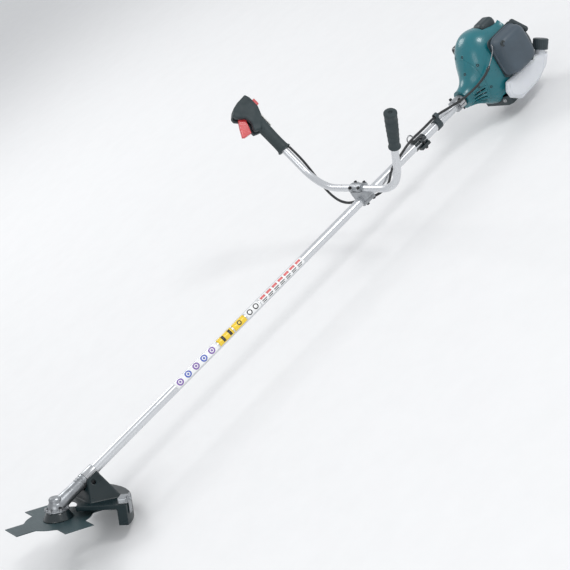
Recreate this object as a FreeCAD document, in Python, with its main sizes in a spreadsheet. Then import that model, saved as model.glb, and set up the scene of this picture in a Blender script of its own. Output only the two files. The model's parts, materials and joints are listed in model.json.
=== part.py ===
import FreeCAD, Part
import math
import os
import re
import Sketcher
from FreeCAD import Placement, Rotation, Vector

# Brush cutter: two-stroke engine, straight tube, bevel gear head and four-arm blade.
# Frame: +X towards the cutting head, +Y to the operator's left, +Z up.
# Origin: centre of the flat base of the engine foot.  The tube's axis lies along X.

os.makedirs("parts", exist_ok=True)
doc = FreeCAD.newDocument("brush_cutter")

# ---------------------------------------------------------------- driving dimensions

SIZES = {
    # main tube and its place in the frame
    "tube_od": 25, "tube_wall": 1.5, "bare_tube": 1456, "axis_height": 96, "foot_to_head": 1574,
    "tube_in_head": 58, "tube_in_engine": 10, "drive_rod_d": 7,
    # cutting head
    "head_tilt": 30, "blade_x": 144.8, "blade_drop": 25, "blade_d": 255, "blade_thick": 1.8,
    "blade_arm": 72.8, "blade_body_r": 82, "blade_bore_d": 25.4,
    "arbor_d": 12, "arbor_top_d": 10, "arbor_top": 26, "arbor_bottom": -17,
    "apex_height": 28.87, "gear_module": 1.4, "pinion_teeth": 13, "gear_teeth": 19, "gear_face": 4.5,
    "barrel_d": 31, "barrel_start": 36, "boss_d": 33, "boss_top": 54, "flange_height": 20,
    "cone_base_d": 74, "cone_top_d": 54,
    # guard
    "guard_r": 179, "guard_half_angle": 49, "guard_thick": 3, "guard_plate": 25, "skirt_drop": 22,
    # handlebar
    "clamp_x": -1028, "bar_height": 31, "bar_od": 20, "bar_wall": 2, "bar_lean": 4,
    "bar_straight": 105.6, "bend_r": 130, "bend_angle": 60, "arm_end": 264,
    "grip_start": 148, "grip_length": 118, "grip_od": 30, "trigger_x": 31, "trigger_z": 151,
    # hanger
    "hanger_x": -1250, "cable_band_x": -1344, "hanger_ring_d": 24, "hanger_wire_d": 4,
    # engine, x measured back from the front of the clutch housing
    "clutch_drum_d": 60, "shoe_d": 52, "flywheel_d": 84, "cylinder_x": -170, "bore_d": 36,
    "crank_throw": 14, "rod_length": 50, "shell_wall": 2.5, "split_x": -64, "cover_end": -214,
    "starter_start": -217, "tank_half_width": 86, "saddle_top": -55,
    "saddle_half_width": 70, "tank_nose": -143,
    "foot_front": -96, "foot_length": 44, "foot_width": 112,
    # fits
    "running": 0.05, "gap": 0.4,
}

sheet = doc.addObject("Spreadsheet::Sheet", "Sizes")
for row, (alias, value) in enumerate(SIZES.items(), start=1):
    sheet.set(f"A{row}", alias)
    sheet.set(f"B{row}", str(value))
    sheet.setAlias(f"B{row}", alias)
doc.recompute()


def size(formula):
    """Value of a formula written with the sheet's aliases."""
    if not isinstance(formula, str):
        return float(formula)
    probe.setExpression("Length", linked(formula))
    probe.recompute()
    return float(probe.Length)


def linked(formula):
    """The formula with each alias written as a reference to the sheet."""
    return re.sub(r"[a-z_][a-z_0-9]*", lambda m: "Sizes." + m[0] if m[0] in SIZES else m[0], formula)


probe = doc.addObject("Part::Feature", "Probe")
probe.addProperty("App::PropertyFloat", "Length")

# ---------------------------------------------------------------- frames of the assemblies

TUBE = Placement(Vector(size("foot_to_head"), 0, size("axis_height")), Rotation())
HEAD = TUBE * Placement(
    Vector(size("blade_x"), 0, -size("blade_drop")), Rotation(Vector(0, 1, 0), -size("head_tilt"))
)
ENGINE = TUBE * Placement(Vector(-size("bare_tube"), 0, 0), Rotation())
BAR = TUBE * Placement(
    Vector(size("clamp_x"), 0, size("bar_height")), Rotation(Vector(0, 1, 0), -size("bar_lean"))
)
ALONG_X = Rotation(Vector(0, 1, 0), 90)
ALONG_Y = Rotation(Vector(1, 0, 0), -90)
UPRIGHT = Rotation()

# ---------------------------------------------------------------- small building tools

finished = []
socket_bolts = []


def bind(obj, **values):
    """Sets properties, a formula as an expression and a number as it is."""
    for prop, value in values.items():
        if isinstance(value, str):
            obj.setExpression(prop, linked(value))
        else:
            setattr(obj, prop, value)


def placed(obj, at, turn):
    """Puts a primitive at a point whose coordinates are numbers or formulas."""
    numbers = [0 if isinstance(value, str) else value for value in at]
    obj.Placement = Placement(Vector(*numbers), turn)
    for axis, value in zip("xyz", at):
        if isinstance(value, str):
            obj.setExpression(f"Placement.Base.{axis}", linked(value))
    return obj


def cylinder(radius, height, at=(0, 0, 0), turn=UPRIGHT):
    obj = doc.addObject("Part::Cylinder", "Cylinder")
    bind(obj, Radius=radius, Height=height)
    return placed(obj, at, turn)


def cone(radius_1, radius_2, height, at=(0, 0, 0), turn=UPRIGHT):
    obj = doc.addObject("Part::Cone", "Cone")
    bind(obj, Radius1=radius_1, Radius2=radius_2, Height=height)
    return placed(obj, at, turn)


def block(length, width, height, at=(0, 0, 0), turn=UPRIGHT):
    obj = doc.addObject("Part::Box", "Block")
    bind(obj, Length=length, Width=width, Height=height)
    return placed(obj, at, turn)


def ball(radius, at=(0, 0, 0)):
    obj = doc.addObject("Part::Sphere", "Ball")
    bind(obj, Radius=radius)
    return placed(obj, at, UPRIGHT)


def ring(radius, wire_radius, at=(0, 0, 0), turn=UPRIGHT):
    obj = doc.addObject("Part::Torus", "Ring")
    bind(obj, Radius1=radius, Radius2=wire_radius)
    return placed(obj, at, turn)


def fuse(*pieces):
    if len(pieces) == 1:
        return pieces[0]
    obj = doc.addObject("Part::MultiFuse", "Fusion")
    obj.Shapes = list(pieces)
    return obj


def cut(base, *tools):
    obj = doc.addObject("Part::Cut", "Cut")
    obj.Base = base
    obj.Tool = fuse(*tools)
    return obj


def made(shape):
    """A feature whose shape is built in code, for lofts, swept tubes and gear teeth."""
    obj = doc.addObject("Part::Feature", "Made")
    obj.Shape = shape
    return obj


def rounded(base, radius, edge_filter=None):
    """The base's shape with its edges, or those the filter picks, rounded."""
    doc.recompute()
    edges = [e for e in base.Shape.Edges if edge_filter is None or edge_filter(e)]
    return made(base.Shape.makeFillet(radius, edges))


def hexagon(across_flats, height, at=(0, 0, 0), turn=UPRIGHT):
    obj = doc.addObject("Part::Prism", "Hexagon")
    bind(obj, Polygon=6, Circumradius=across_flats / math.sqrt(3), Height=height)
    return placed(obj, at, turn)


def finish(label, obj, frame):
    """Names the sub-part and puts it in its assembly's frame."""
    obj.Label = label
    doc.recompute()
    obj.Placement = frame * obj.Placement
    finished.append(obj)
    return obj


def in_frame(frame, *pieces):
    """Moves pieces into an assembly's frame, so that a group can share one sub-part."""
    doc.recompute()
    for piece in pieces:
        piece.Placement = frame * piece.Placement
    return list(pieces)


def plate(label, outline, thickness, frame, circles=()):
    """PartDesign body: a flat outline of (x, y) points with round holes, padded upwards."""
    body = doc.addObject("PartDesign::Body", label + "_body")
    plane = next(f for f in body.Origin.OriginFeatures if f.Role == "XY_Plane")
    sketch = body.newObject("Sketcher::SketchObject", label + "_sketch")
    sketch.AttachmentSupport = [(plane, "")]
    sketch.MapMode = "FlatFace"
    corners = [Vector(x, y, 0) for x, y in outline]
    for start, end in zip(corners, corners[1:] + corners[:1]):
        sketch.addGeometry(Part.LineSegment(start, end), False)
    for index in range(len(corners)):
        following = (index + 1) % len(corners)
        sketch.addConstraint(Sketcher.Constraint("Coincident", index, 2, following, 1))
    for x, y, radius in circles:
        sketch.addGeometry(Part.Circle(Vector(x, y, 0), Vector(0, 0, 1), radius), False)
    pad = body.newObject("PartDesign::Pad", label + "_pad")
    pad.Profile = sketch
    bind(pad, Length=thickness)
    body.Tip = pad
    if frame is not None:
        finish(label, body, frame)
    return body


def rounded_path(points, largest_radius=None):
    """Straight runs joined by tangent arcs; returns the wire and the arcs' radii."""
    points = [Vector(*p) for p in points]
    edges = []
    radii = []
    start = points[0]
    for before, corner, after in zip(points, points[1:], points[2:]):
        to_before = (before - corner).normalize()
        to_after = (after - corner).normalize()
        half_turn = (math.pi - to_before.getAngle(to_after)) / 2
        run = min((corner - before).Length, (after - corner).Length)
        setback = 0.45 * run
        if largest_radius is not None:
            setback = min(setback, largest_radius * math.tan(half_turn))
        radius = setback / math.tan(half_turn)
        radii.append(radius)
        tangent_in = corner + to_before * setback
        tangent_out = corner + to_after * setback
        inward = (to_before + to_after).normalize()
        middle = corner + inward * (radius / math.cos(half_turn) - radius)
        edges.append(Part.LineSegment(start, tangent_in).toShape())
        edges.append(Part.Arc(tangent_in, middle, tangent_out).toShape())
        start = tangent_out
    edges.append(Part.LineSegment(start, points[-1]).toShape())
    return Part.Wire(edges), radii


def tube_along(points, radius, inner_radius=0, largest_radius=None):
    """Round bar or pipe along a rounded path."""
    wire, radii = rounded_path(points, largest_radius)
    start = Vector(*points[0])
    direction = Vector(*points[1]) - start

    def swept(section_radius):
        section = Part.Wire(Part.makeCircle(section_radius, start, direction))
        return wire.makePipeShell([section], True, False)

    solid = swept(radius)
    if inner_radius:
        solid = solid.cut(swept(inner_radius))
    return solid, wire, radii


def oval(x, half_width, bottom, top, squareness, shrink=0):
    """Closed smooth section across X: a superellipse with the given extents."""
    half_width = half_width - shrink
    half_height = (top - bottom) / 2 - shrink
    centre = (top + bottom) / 2
    points = []
    for step in range(24):
        angle = 2 * math.pi * step / 24
        across, upward = math.cos(angle), math.sin(angle)
        points.append(Vector(
            x,
            half_width * math.copysign(abs(across) ** (2 / squareness), across),
            centre + half_height * math.copysign(abs(upward) ** (2 / squareness), upward),
        ))
    curve = Part.BSplineCurve()
    curve.interpolate(points, PeriodicFlag=True)
    return Part.Wire([curve.toShape()])


def lofted(sections, shrink=0):
    """Solid through oval sections given as (x, half width, bottom, top, squareness)."""
    wires = [oval(*section, shrink=shrink) for section in sections]
    return Part.makeLoft(wires, True, False)


# ---------------------------------------------------------------- cutting head


def make_blade():
    """Four arms at right angles around a round body, with a drive bore."""
    tip = size("blade_d / 2")
    arm = size("blade_arm")
    body_r = size("blade_body_r")
    half = arm / 2
    arm_end = math.sqrt(tip ** 2 - half ** 2)
    disc = cylinder("blade_body_r", "blade_thick", (0, 0, "-blade_thick / 2"))
    arms = []
    for turn in (0, 90):
        arms.append(block(2 * arm_end, "blade_arm", "blade_thick"))
        arms[-1].Placement = Placement(Vector(0, 0, 0), Rotation(Vector(0, 0, 1), turn)) * Placement(
            Vector(-arm_end, -half, -size("blade_thick / 2")), Rotation())
    fused = fuse(disc, *arms)
    soft = rounded(fused, 9, lambda e: e.Length < 3 and abs(
        math.hypot(e.Vertexes[0].X, e.Vertexes[0].Y) - body_r) < 0.1)
    blade = cut(soft, cylinder("blade_bore_d / 2", 10, (0, 0, -5)))
    finish("cutting_blade", blade, HEAD)


def make_arbor_parts():
    """Output shaft, blade holder, clamping washer and left-hand nut, about the blade's axis."""
    shaft = fuse(
        cylinder("arbor_d / 2", "20.5 - arbor_bottom", (0, 0, "arbor_bottom")),
        cylinder(7.5, 10, (0, 0, 8.4)),
        cylinder("arbor_top_d / 2", "arbor_top - 20", (0, 0, 20)),
    )
    finish("output_shaft", shaft, HEAD)
    bore = cylinder("arbor_d / 2 + running", 40, (0, 0, -20))
    holder = cut(
        fuse(
            cylinder(30, 2.4, (0, 0, "blade_thick / 2 + running")),
            cone(28, 20, 3.4, (0, 0, 3.3)),
            cylinder("blade_bore_d / 2 - running", 2.2, (0, 0, -1.2)),
        ),
        bore,
    )
    finish("receiver_washer", holder, HEAD)
    washer = cut(
        fuse(cylinder(25, 2.4, (0, 0, -3.8)), cone(20, 24, 1.6, (0, 0, -5.4))),
        cylinder(13.2, 3, (0, 0, -2.2)),
        cylinder("arbor_d / 2 + running", 40, (0, 0, -20)),
    )
    finish("clamp_washer", washer, HEAD)
    nut = cut(
        fuse(cylinder(12, 2, (0, 0, -7.5)), hexagon(17, 7, (0, 0, -14.4))),
        cylinder("arbor_d / 2 + running", 30, (0, 0, -20)),
    )
    finish("blade_nut", nut, HEAD)


def bevel_gear_solid(teeth, pitch_angle, mate_teeth_angle_offset):
    """Straight bevel gear about +Z with its apex at the origin and its teeth facing the apex."""
    module = size("gear_module")
    face = size("gear_face")
    pitch_r = module * teeth / 2
    cone_length = pitch_r / math.sin(pitch_angle)
    addendum, dedendum = 0.75 * module, 1.15 * module

    def point(along, above, angle):
        radial = along * math.sin(pitch_angle) + above * math.cos(pitch_angle)
        axial = along * math.cos(pitch_angle) - above * math.sin(pitch_angle)
        return Vector(radial * math.cos(angle), radial * math.sin(angle), -axial)

    root_outer = point(cone_length, -dedendum, 0)
    inner_length = cone_length - face
    scale = inner_length / cone_length
    root_inner = point(inner_length, -dedendum * scale, 0)
    profile = [
        Vector(0, 0, root_inner.z), root_inner, root_outer,
        Vector(root_outer.x, 0, root_outer.z - 3.2), Vector(0, 0, root_outer.z - 3.2),
    ]
    blank = Part.Face(Part.makePolygon(profile + profile[:1])).revolve(Vector(0, 0, 0), Vector(0, 0, 1), 360)
    tooth_width = math.pi * module * 0.36
    solid = blank
    for index in range(teeth):
        centre = 2 * math.pi * index / teeth + mate_teeth_angle_offset
        sections = []
        for along, factor in ((cone_length, 1.0), (inner_length, scale)):
            low = tooth_width * 0.72 * factor / (pitch_r * factor)
            high = tooth_width * 0.36 * factor / (pitch_r * factor)
            corners = [
                point(along, -dedendum * factor * 1.25, centre - low),
                point(along, addendum * factor, centre - high),
                point(along, addendum * factor, centre + high),
                point(along, -dedendum * factor * 1.25, centre + low),
            ]
            sections.append(Part.makePolygon(corners + corners[:1]))
        solid = solid.fuse(Part.makeLoft(sections, True, True))
    return solid.removeSplitter()


def make_gears():
    """Bevel pair, in mesh: the pinion on the tube's axis, the gear on the blade's axis."""
    shaft_angle = math.radians(90 + size("head_tilt"))
    ratio = SIZES["pinion_teeth"] / SIZES["gear_teeth"]
    gear_angle = math.atan2(math.sin(shaft_angle), ratio + math.cos(shaft_angle))
    pinion_angle = shaft_angle - gear_angle
    gear_shape = bevel_gear_solid(SIZES["gear_teeth"], gear_angle, math.pi + math.pi / SIZES["gear_teeth"])
    gear_shape.translate(Vector(0, 0, size("apex_height")))
    gear = cut(made(gear_shape), cylinder("arbor_top_d / 2 + running / 2", 60, (0, 0, -10)))
    finish("bevel_gear", gear, HEAD)
    pinion_shape = bevel_gear_solid(SIZES["pinion_teeth"], pinion_angle, 0)
    apex_x = size("blade_x") - size("apex_height") * math.sin(math.radians(size("head_tilt")))
    frame = TUBE * Placement(Vector(apex_x, 0, 0), Rotation(Vector(0, 1, 0), 90))
    sleeve = cylinder(5, 34, (0, 0, -48))
    pinion = cut(fuse(made(pinion_shape), sleeve), cylinder("drive_rod_d / 2 + running / 2", 34, (0, 0, -54)))
    finish("bevel_pinion", pinion, frame)
    return apex_x


def make_gear_case(apex_x):
    """Cast case: barrel on the tube's end, ball-shaped body, top boss, bottom flange and neck."""
    to_head = HEAD.inverse() * TUBE
    barrel_turn = to_head.Rotation * ALONG_X

    def on_tube(x, piece):
        doc.recompute()
        piece.Placement = Placement(to_head.multVec(Vector(x, 0, 0)), barrel_turn)
        return piece

    start = SIZES["barrel_start"]
    barrel_r = size("barrel_d / 2")
    swell = 3.5
    outside = fuse(
        on_tube(start, cylinder(barrel_r, 40)),
        on_tube(start, cylinder(barrel_r + 1.6, 7)),
        on_tube(start + 12, cylinder(barrel_r + 1.2, 3)),
        on_tube(start + 19, cylinder(barrel_r + 1.2, 3)),
        on_tube(start + 40, cone(barrel_r, barrel_r + swell, apex_x - start - 44)),
        ball(21.5, (0, 0, "apex_height - 1")),
        cylinder("boss_d / 2", "boss_top - 4 - flange_height", (0, 0, "flange_height")),
        cone("boss_d / 2", "boss_d / 2 - 3", 4, (0, 0, "boss_top - 4")),
        cylinder("cone_top_d / 2", 4, (0, 0, "flange_height")),
        cylinder(19.5, "flange_height - 5", (0, 0, 7)),
    )
    lugs = [cylinder(4.6, 6, (25.5 * math.cos(a), 25.5 * math.sin(a), 20))
            for a in (math.radians(30 + 60 * k) for k in range(6))]
    inside = fuse(
        cylinder(16, 11.6, (0, 0, 6)),
        cylinder(15.6, 12, (0, 0, 17)),
        cylinder(9.5, 16, (0, 0, 28)),
        on_tube(apex_x - 31, cylinder(12.2, 25)),
        on_tube(start - 1, cylinder("tube_od / 2 + 0.02", 24)),
        on_tube(apex_x - 64, cylinder(13, 35)),
        on_tube(start + 20, cylinder(9, 12)),
    )
    under_flange = cut(block(90, 90, 40, (-45, -45, "flange_height - 40")), cylinder(19.5, 60, (0, 0, -30)))
    plug_hole = cylinder(3.1, 14, (0, 14, 30), ALONG_Y)
    case = cut(cut(cut(fuse(outside, *lugs), under_flange), inside), plug_hole)
    finish("gear_case", case, HEAD)
    plug = fuse(cylinder(3.05, 8, (0, 15.5, 30), ALONG_Y), hexagon(8, 4, (0, 22.2, 30), ALONG_Y))
    finish("grease_plug", plug, HEAD)


def make_cone_cover():
    """Fixed cone under the case, round the blade holder, open below."""
    height = size("flange_height - 2.4")
    outer = cone("cone_base_d / 2", "cone_top_d / 2", height, (0, 0, 2))
    inner = cone("cone_base_d / 2 - 2", "cone_top_d / 2 - 2", height - 2, (0, 0, 1.9))
    cover = cut(outer, inner, cylinder(19.55, 40, (0, 0, 0)))
    finish("cone_cover", cover, HEAD)


def bearing(outer_r, inner_r, width, at, turn=UPRIGHT):
    """Ball bearing drawn as one ring with grooves at its two faces."""
    groove_r = (outer_r + inner_r) / 2
    body = cut(cylinder(outer_r, width, (0, 0, 0)), cylinder(inner_r, width + 2, (0, 0, -1)),
               ring(groove_r, (outer_r - inner_r) / 8, (0, 0, 0)),
               ring(groove_r, (outer_r - inner_r) / 8, (0, 0, width)))
    doc.recompute()
    body.Placement = Placement(Vector(*at), turn)
    return body


def make_bearings(apex_x):
    """Ball bearings of the arbor, the pinion, the clutch drum and the crankshaft."""
    running = SIZES["running"]
    in_head = [bearing(15.98, 7.5 + running, 4.4, (0, 0, 8.5)),
               bearing(15.98, 7.5 + running, 4.4, (0, 0, 13))]
    in_tube = [bearing(12.98, 5 + running, 8, (apex_x - 42, 0, 0), ALONG_X),
               bearing(12.98, 5 + running, 8, (apex_x - 52, 0, 0), ALONG_X)]
    cylinder_x = SIZES["cylinder_x"]
    in_engine = [bearing(15.98, 8 + running, 9, (-31, 0, 0), ALONG_X),
                 bearing(17.48, 6 + running, 10, (cylinder_x + 26, 0, 0), ALONG_X),
                 bearing(17.48, 6 + running, 10, (cylinder_x - 36, 0, 0), ALONG_X)]
    rings = in_frame(HEAD, *in_head) + in_frame(TUBE, *in_tube) + in_frame(ENGINE, *in_engine)
    finish("ball_bearings", fuse(*rings), Placement())


# ---------------------------------------------------------------- guard


def sector_wire(radius_in, radius_out, half_angle, height):
    """Closed outline of a ring sector centred on -X."""
    def at(radius, degrees):
        angle = math.radians(180 + degrees)
        return Vector(radius * math.cos(angle), radius * math.sin(angle), height)
    return Part.Wire([
        Part.Arc(at(radius_out, -half_angle), at(radius_out, 0), at(radius_out, half_angle)).toShape(),
        Part.LineSegment(at(radius_out, half_angle), at(radius_in, half_angle)).toShape(),
        Part.Arc(at(radius_in, half_angle), at(radius_in, 0), at(radius_in, -half_angle)).toShape(),
        Part.LineSegment(at(radius_in, -half_angle), at(radius_out, -half_angle)).toShape(),
    ])


def sector(radius_in, radius_out, half_angle, low, high):
    return Part.Face(sector_wire(radius_in, radius_out, half_angle, low)).extrude(Vector(0, 0, high - low))


def make_guard():
    """Fan-shaped plastic guard behind the blade, with a skirt and a hollow web up to its bracket."""
    outer = size("guard_r")
    thick = size("guard_thick")
    half = size("guard_half_angle")
    plate_low = size("guard_plate")
    plate_top = plate_low + thick
    skirt_low = -size("skirt_drop")
    solids = [
        sector(48, outer, half, plate_low, plate_top),
        sector(outer - thick, outer, half, skirt_low, plate_top),
        sector(outer - 24, outer - 24 + thick, half, plate_low - 7, plate_top),
    ]
    for side in (-1, 1):
        wall_turn = math.degrees(math.asin(thick / 2 / outer))
        for degrees, deep, reach in ((half - wall_turn, skirt_low, 24), (half - 9, skirt_low, 24),
                                     (half - wall_turn, plate_low - 8, outer - 50)):
            rib = Part.makeBox(reach, thick, plate_top - deep, Vector(-outer + 0.4, -thick / 2, deep))
            rib.rotate(Vector(0, 0, 0), Vector(0, 0, 1), side * degrees)
            solids.append(rib)
    to_head = HEAD.inverse() * TUBE
    bracket_centre = Vector(22, 0, 3)

    def web(shrink, foot):
        top = [(-17, -22), (15, -22), (15, 22), (-17, 22)]
        low = [(-outer + 36, -72), (-66, -50), (-66, 50), (-outer + 36, 72)]
        upper = [to_head.multVec(bracket_centre + Vector(u * (1 - shrink / 17), v * (1 - shrink / 22), 0))
                 for u, v in top]
        lower = [Vector(u + (shrink if u < -100 else -shrink), v * (1 - shrink / 60), foot) for u, v in low]
        return Part.makeLoft([Part.makePolygon(upper + upper[:1]), Part.makePolygon(lower + lower[:1])],
                             True, True)

    shell = web(0, plate_top - 0.5).cut(web(thick, plate_low - 0.01))
    body = solids[0].fuse(solids[1:] + [shell])
    pad = Part.makeBox(36, 42, 5)
    pad.Placement = to_head * Placement(Vector(4, -21, -27), Rotation())
    body = body.fuse(pad)
    bracket_room = Part.makeBox(80, 36.2, 60)
    bracket_room.Placement = to_head * Placement(Vector(-30, -18.1, -21.95), Rotation())
    body = body.cut(bracket_room)
    barrel_room = Part.makeCylinder(18.5, 90, Vector(16, 0, 0), Vector(1, 0, 0))
    barrel_room.Placement = to_head * barrel_room.Placement
    swing_room = Part.makeCylinder(46, 60, Vector(0, 0, -20), Vector(0, 0, 1))
    body = body.cut([barrel_room, swing_room])
    for x in (12, 32):
        hole = Part.makeCylinder(2.6, 30, Vector(x, 0, -40), Vector(0, 0, 1))
        head_room = Part.makeCylinder(5.2, 14, Vector(x, 0, -41.02), Vector(0, 0, 1))
        hole = hole.fuse(head_room)
        hole.Placement = to_head * hole.Placement
        body = body.cut(hole)
    side_holes = Part.makeCylinder(2.6, 60, Vector(30, -30, -9), Vector(0, 1, 0)).fuse([
        Part.makeCylinder(5, 20, Vector(30, y, -9), Vector(0, 1, 0)) for y in (22.05, -42.05)])
    side_holes.Placement = to_head * side_holes.Placement
    body = body.cut(side_holes)
    finish("blade_guard", made(body.removeSplitter()), HEAD)


def make_guard_bracket():
    """Aluminium saddle clamped round the tube, to which the guard is bolted."""
    outside = fuse(
        cylinder(16.5, 32, (2, 0, 0), ALONG_X),
        block(32, 36, 21.6, (4, -18, -21.6)),
        block(22, 36, 7, (4, -18, -5)),
    )
    bracket = cut(outside, cylinder("tube_od / 2 + running", 60, (-5, 0, 0), ALONG_X),
                  block(60, 60, 1.2, (-5, -30, -0.6)), cylinder(18.2, 30, (35, 0, 0), ALONG_X),
                  *[cylinder(2.55, 11, (30, y, -9), ALONG_Y) for y in (-20, 9)],
                  *[cylinder(2.55, 20, (x, 0, -40)) for x in (12, 32)])
    finish("guard_bracket", bracket, TUBE)
    side = [fuse(cylinder(2.5, 10, (30, foot, -9), ALONG_Y), cylinder(4.6, 4, (30, head, -9), ALONG_Y))
            for foot, head in ((12.5, 22.1), (-22.5, -26.1))]
    under = [cut(fuse(cylinder(2.5, 10.5, (x, 0, -30.5)), cylinder(4.6, 4, (x, 0, -31.07))),
                 hexagon(4, 3, (x, 0, -32.1))) for x in (12, 32)]
    socket_bolts.extend(in_frame(TUBE, *side, *under))


def make_line_cutter():
    """Steel plate with a bolt at the left end of the guard, which trims a nylon line."""
    outer = size("guard_r")
    angle = size("guard_half_angle") - 8
    top = size("guard_plate + guard_thick")
    holder = Part.makeBox(24, 34, 15, Vector(0, -17, 0))
    holder = holder.makeFillet(5, [e for e in holder.Edges if e.CenterOfMass.z > 1])
    knife = Part.makeBox(2.5, 20, 46, Vector(-3, -10, -26))
    bolt = Part.makeCylinder(2.5, 8, Vector(-6, 0, 8), Vector(1, 0, 0)).fuse(
        Part.makeCylinder(4.5, 4, Vector(-7.2, 0, 8), Vector(1, 0, 0)))
    cutter = holder.fuse([knife, bolt]).removeSplitter()
    swing = Rotation(Vector(0, 0, 1), -angle)
    place = HEAD * Placement(swing.multVec(Vector(-outer - 0.3 + 0.1, 0, top + 0.2)), swing)
    finish("line_cutter", made(cutter), place)


# ---------------------------------------------------------------- tube and drive shaft


def make_tube(apex_x):
    length = "bare_tube + tube_in_head + tube_in_engine"
    start = ("-bare_tube - tube_in_engine", 0, 0)
    tube = cut(cylinder("tube_od / 2", length, start, ALONG_X),
               cylinder("tube_od / 2 - tube_wall", length + " + 2", ("-bare_tube - tube_in_engine - 1", 0, 0), ALONG_X))
    finish("main_tube", tube, TUBE)
    rod = fuse(cylinder("drive_rod_d / 2", f"bare_tube + {apex_x - 24}", ("-bare_tube", 0, 0), ALONG_X),
               cylinder("drive_rod_d / 2", 46, ("-bare_tube - 46", 0, 0), ALONG_X))
    finish("drive_shaft", rod, TUBE)
    bushes = []
    for step in range(5):
        x = -130 - step * 290
        bushes.append(cut(cylinder("tube_od / 2 - tube_wall - 0.02", 22, (x, 0, 0), ALONG_X),
                          cylinder("drive_rod_d / 2 + running", 24, (x - 1, 0, 0), ALONG_X)))
    finish("shaft_bushes", fuse(*bushes), TUBE)


# ---------------------------------------------------------------- handlebar


def arm_point(along, side):
    """Point of the bar's centre line at a distance along one sloping arm; side is 1 for the left."""
    bend = math.radians(size("bend_angle"))
    y = size("bar_straight") + size("bend_r") * math.tan(bend / 2) + along * math.cos(bend)
    return Vector(0, side * y, along * math.sin(bend))


def make_handlebar():
    corner_reach = size("bend_r") * math.tan(math.radians(size("bend_angle")) / 2)
    end = size("arm_end")
    corner = size("bar_straight") + corner_reach
    points = [arm_point(end, -1), Vector(0, -corner, 0), Vector(0, corner, 0), arm_point(end, 1)]
    bar, _, _ = tube_along(points, size("bar_od / 2"), size("bar_od / 2 - bar_wall"), size("bend_r"))
    finish("handlebar", made(bar), BAR)


def arm_frame(side):
    """Frame at the foot of a grip: +Z along the arm, +X towards the cutting head."""
    start = arm_point(size("grip_start"), side)
    lean = side * -(90 - size("bend_angle"))
    return BAR * Placement(start, Rotation(Vector(1, 0, 0), lean))


def make_plain_grip():
    body = fuse(
        cone("grip_od / 2 - 4", "grip_od / 2 + 1", 5, (0, 0, 0)),
        cone("grip_od / 2 + 1", "grip_od / 2 - 1.5", "grip_length - 16", (0, 0, 5)),
        cylinder("grip_od / 2 + 2.5", 8, (0, 0, "grip_length - 11")),
        cone("grip_od / 2 + 2.5", "grip_od / 2", 3, (0, 0, "grip_length - 3")),
    )
    grooves = [ring("grip_od / 2 + 1", 1.2, (0, 0, 20 + 7 * k)) for k in range(11)]
    grip = cut(body, cylinder("bar_od / 2 + 0.02", "arm_end - grip_start + 1", (0, 0, -1)), *grooves)
    finish("plain_grip", grip, arm_frame(1))


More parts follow.
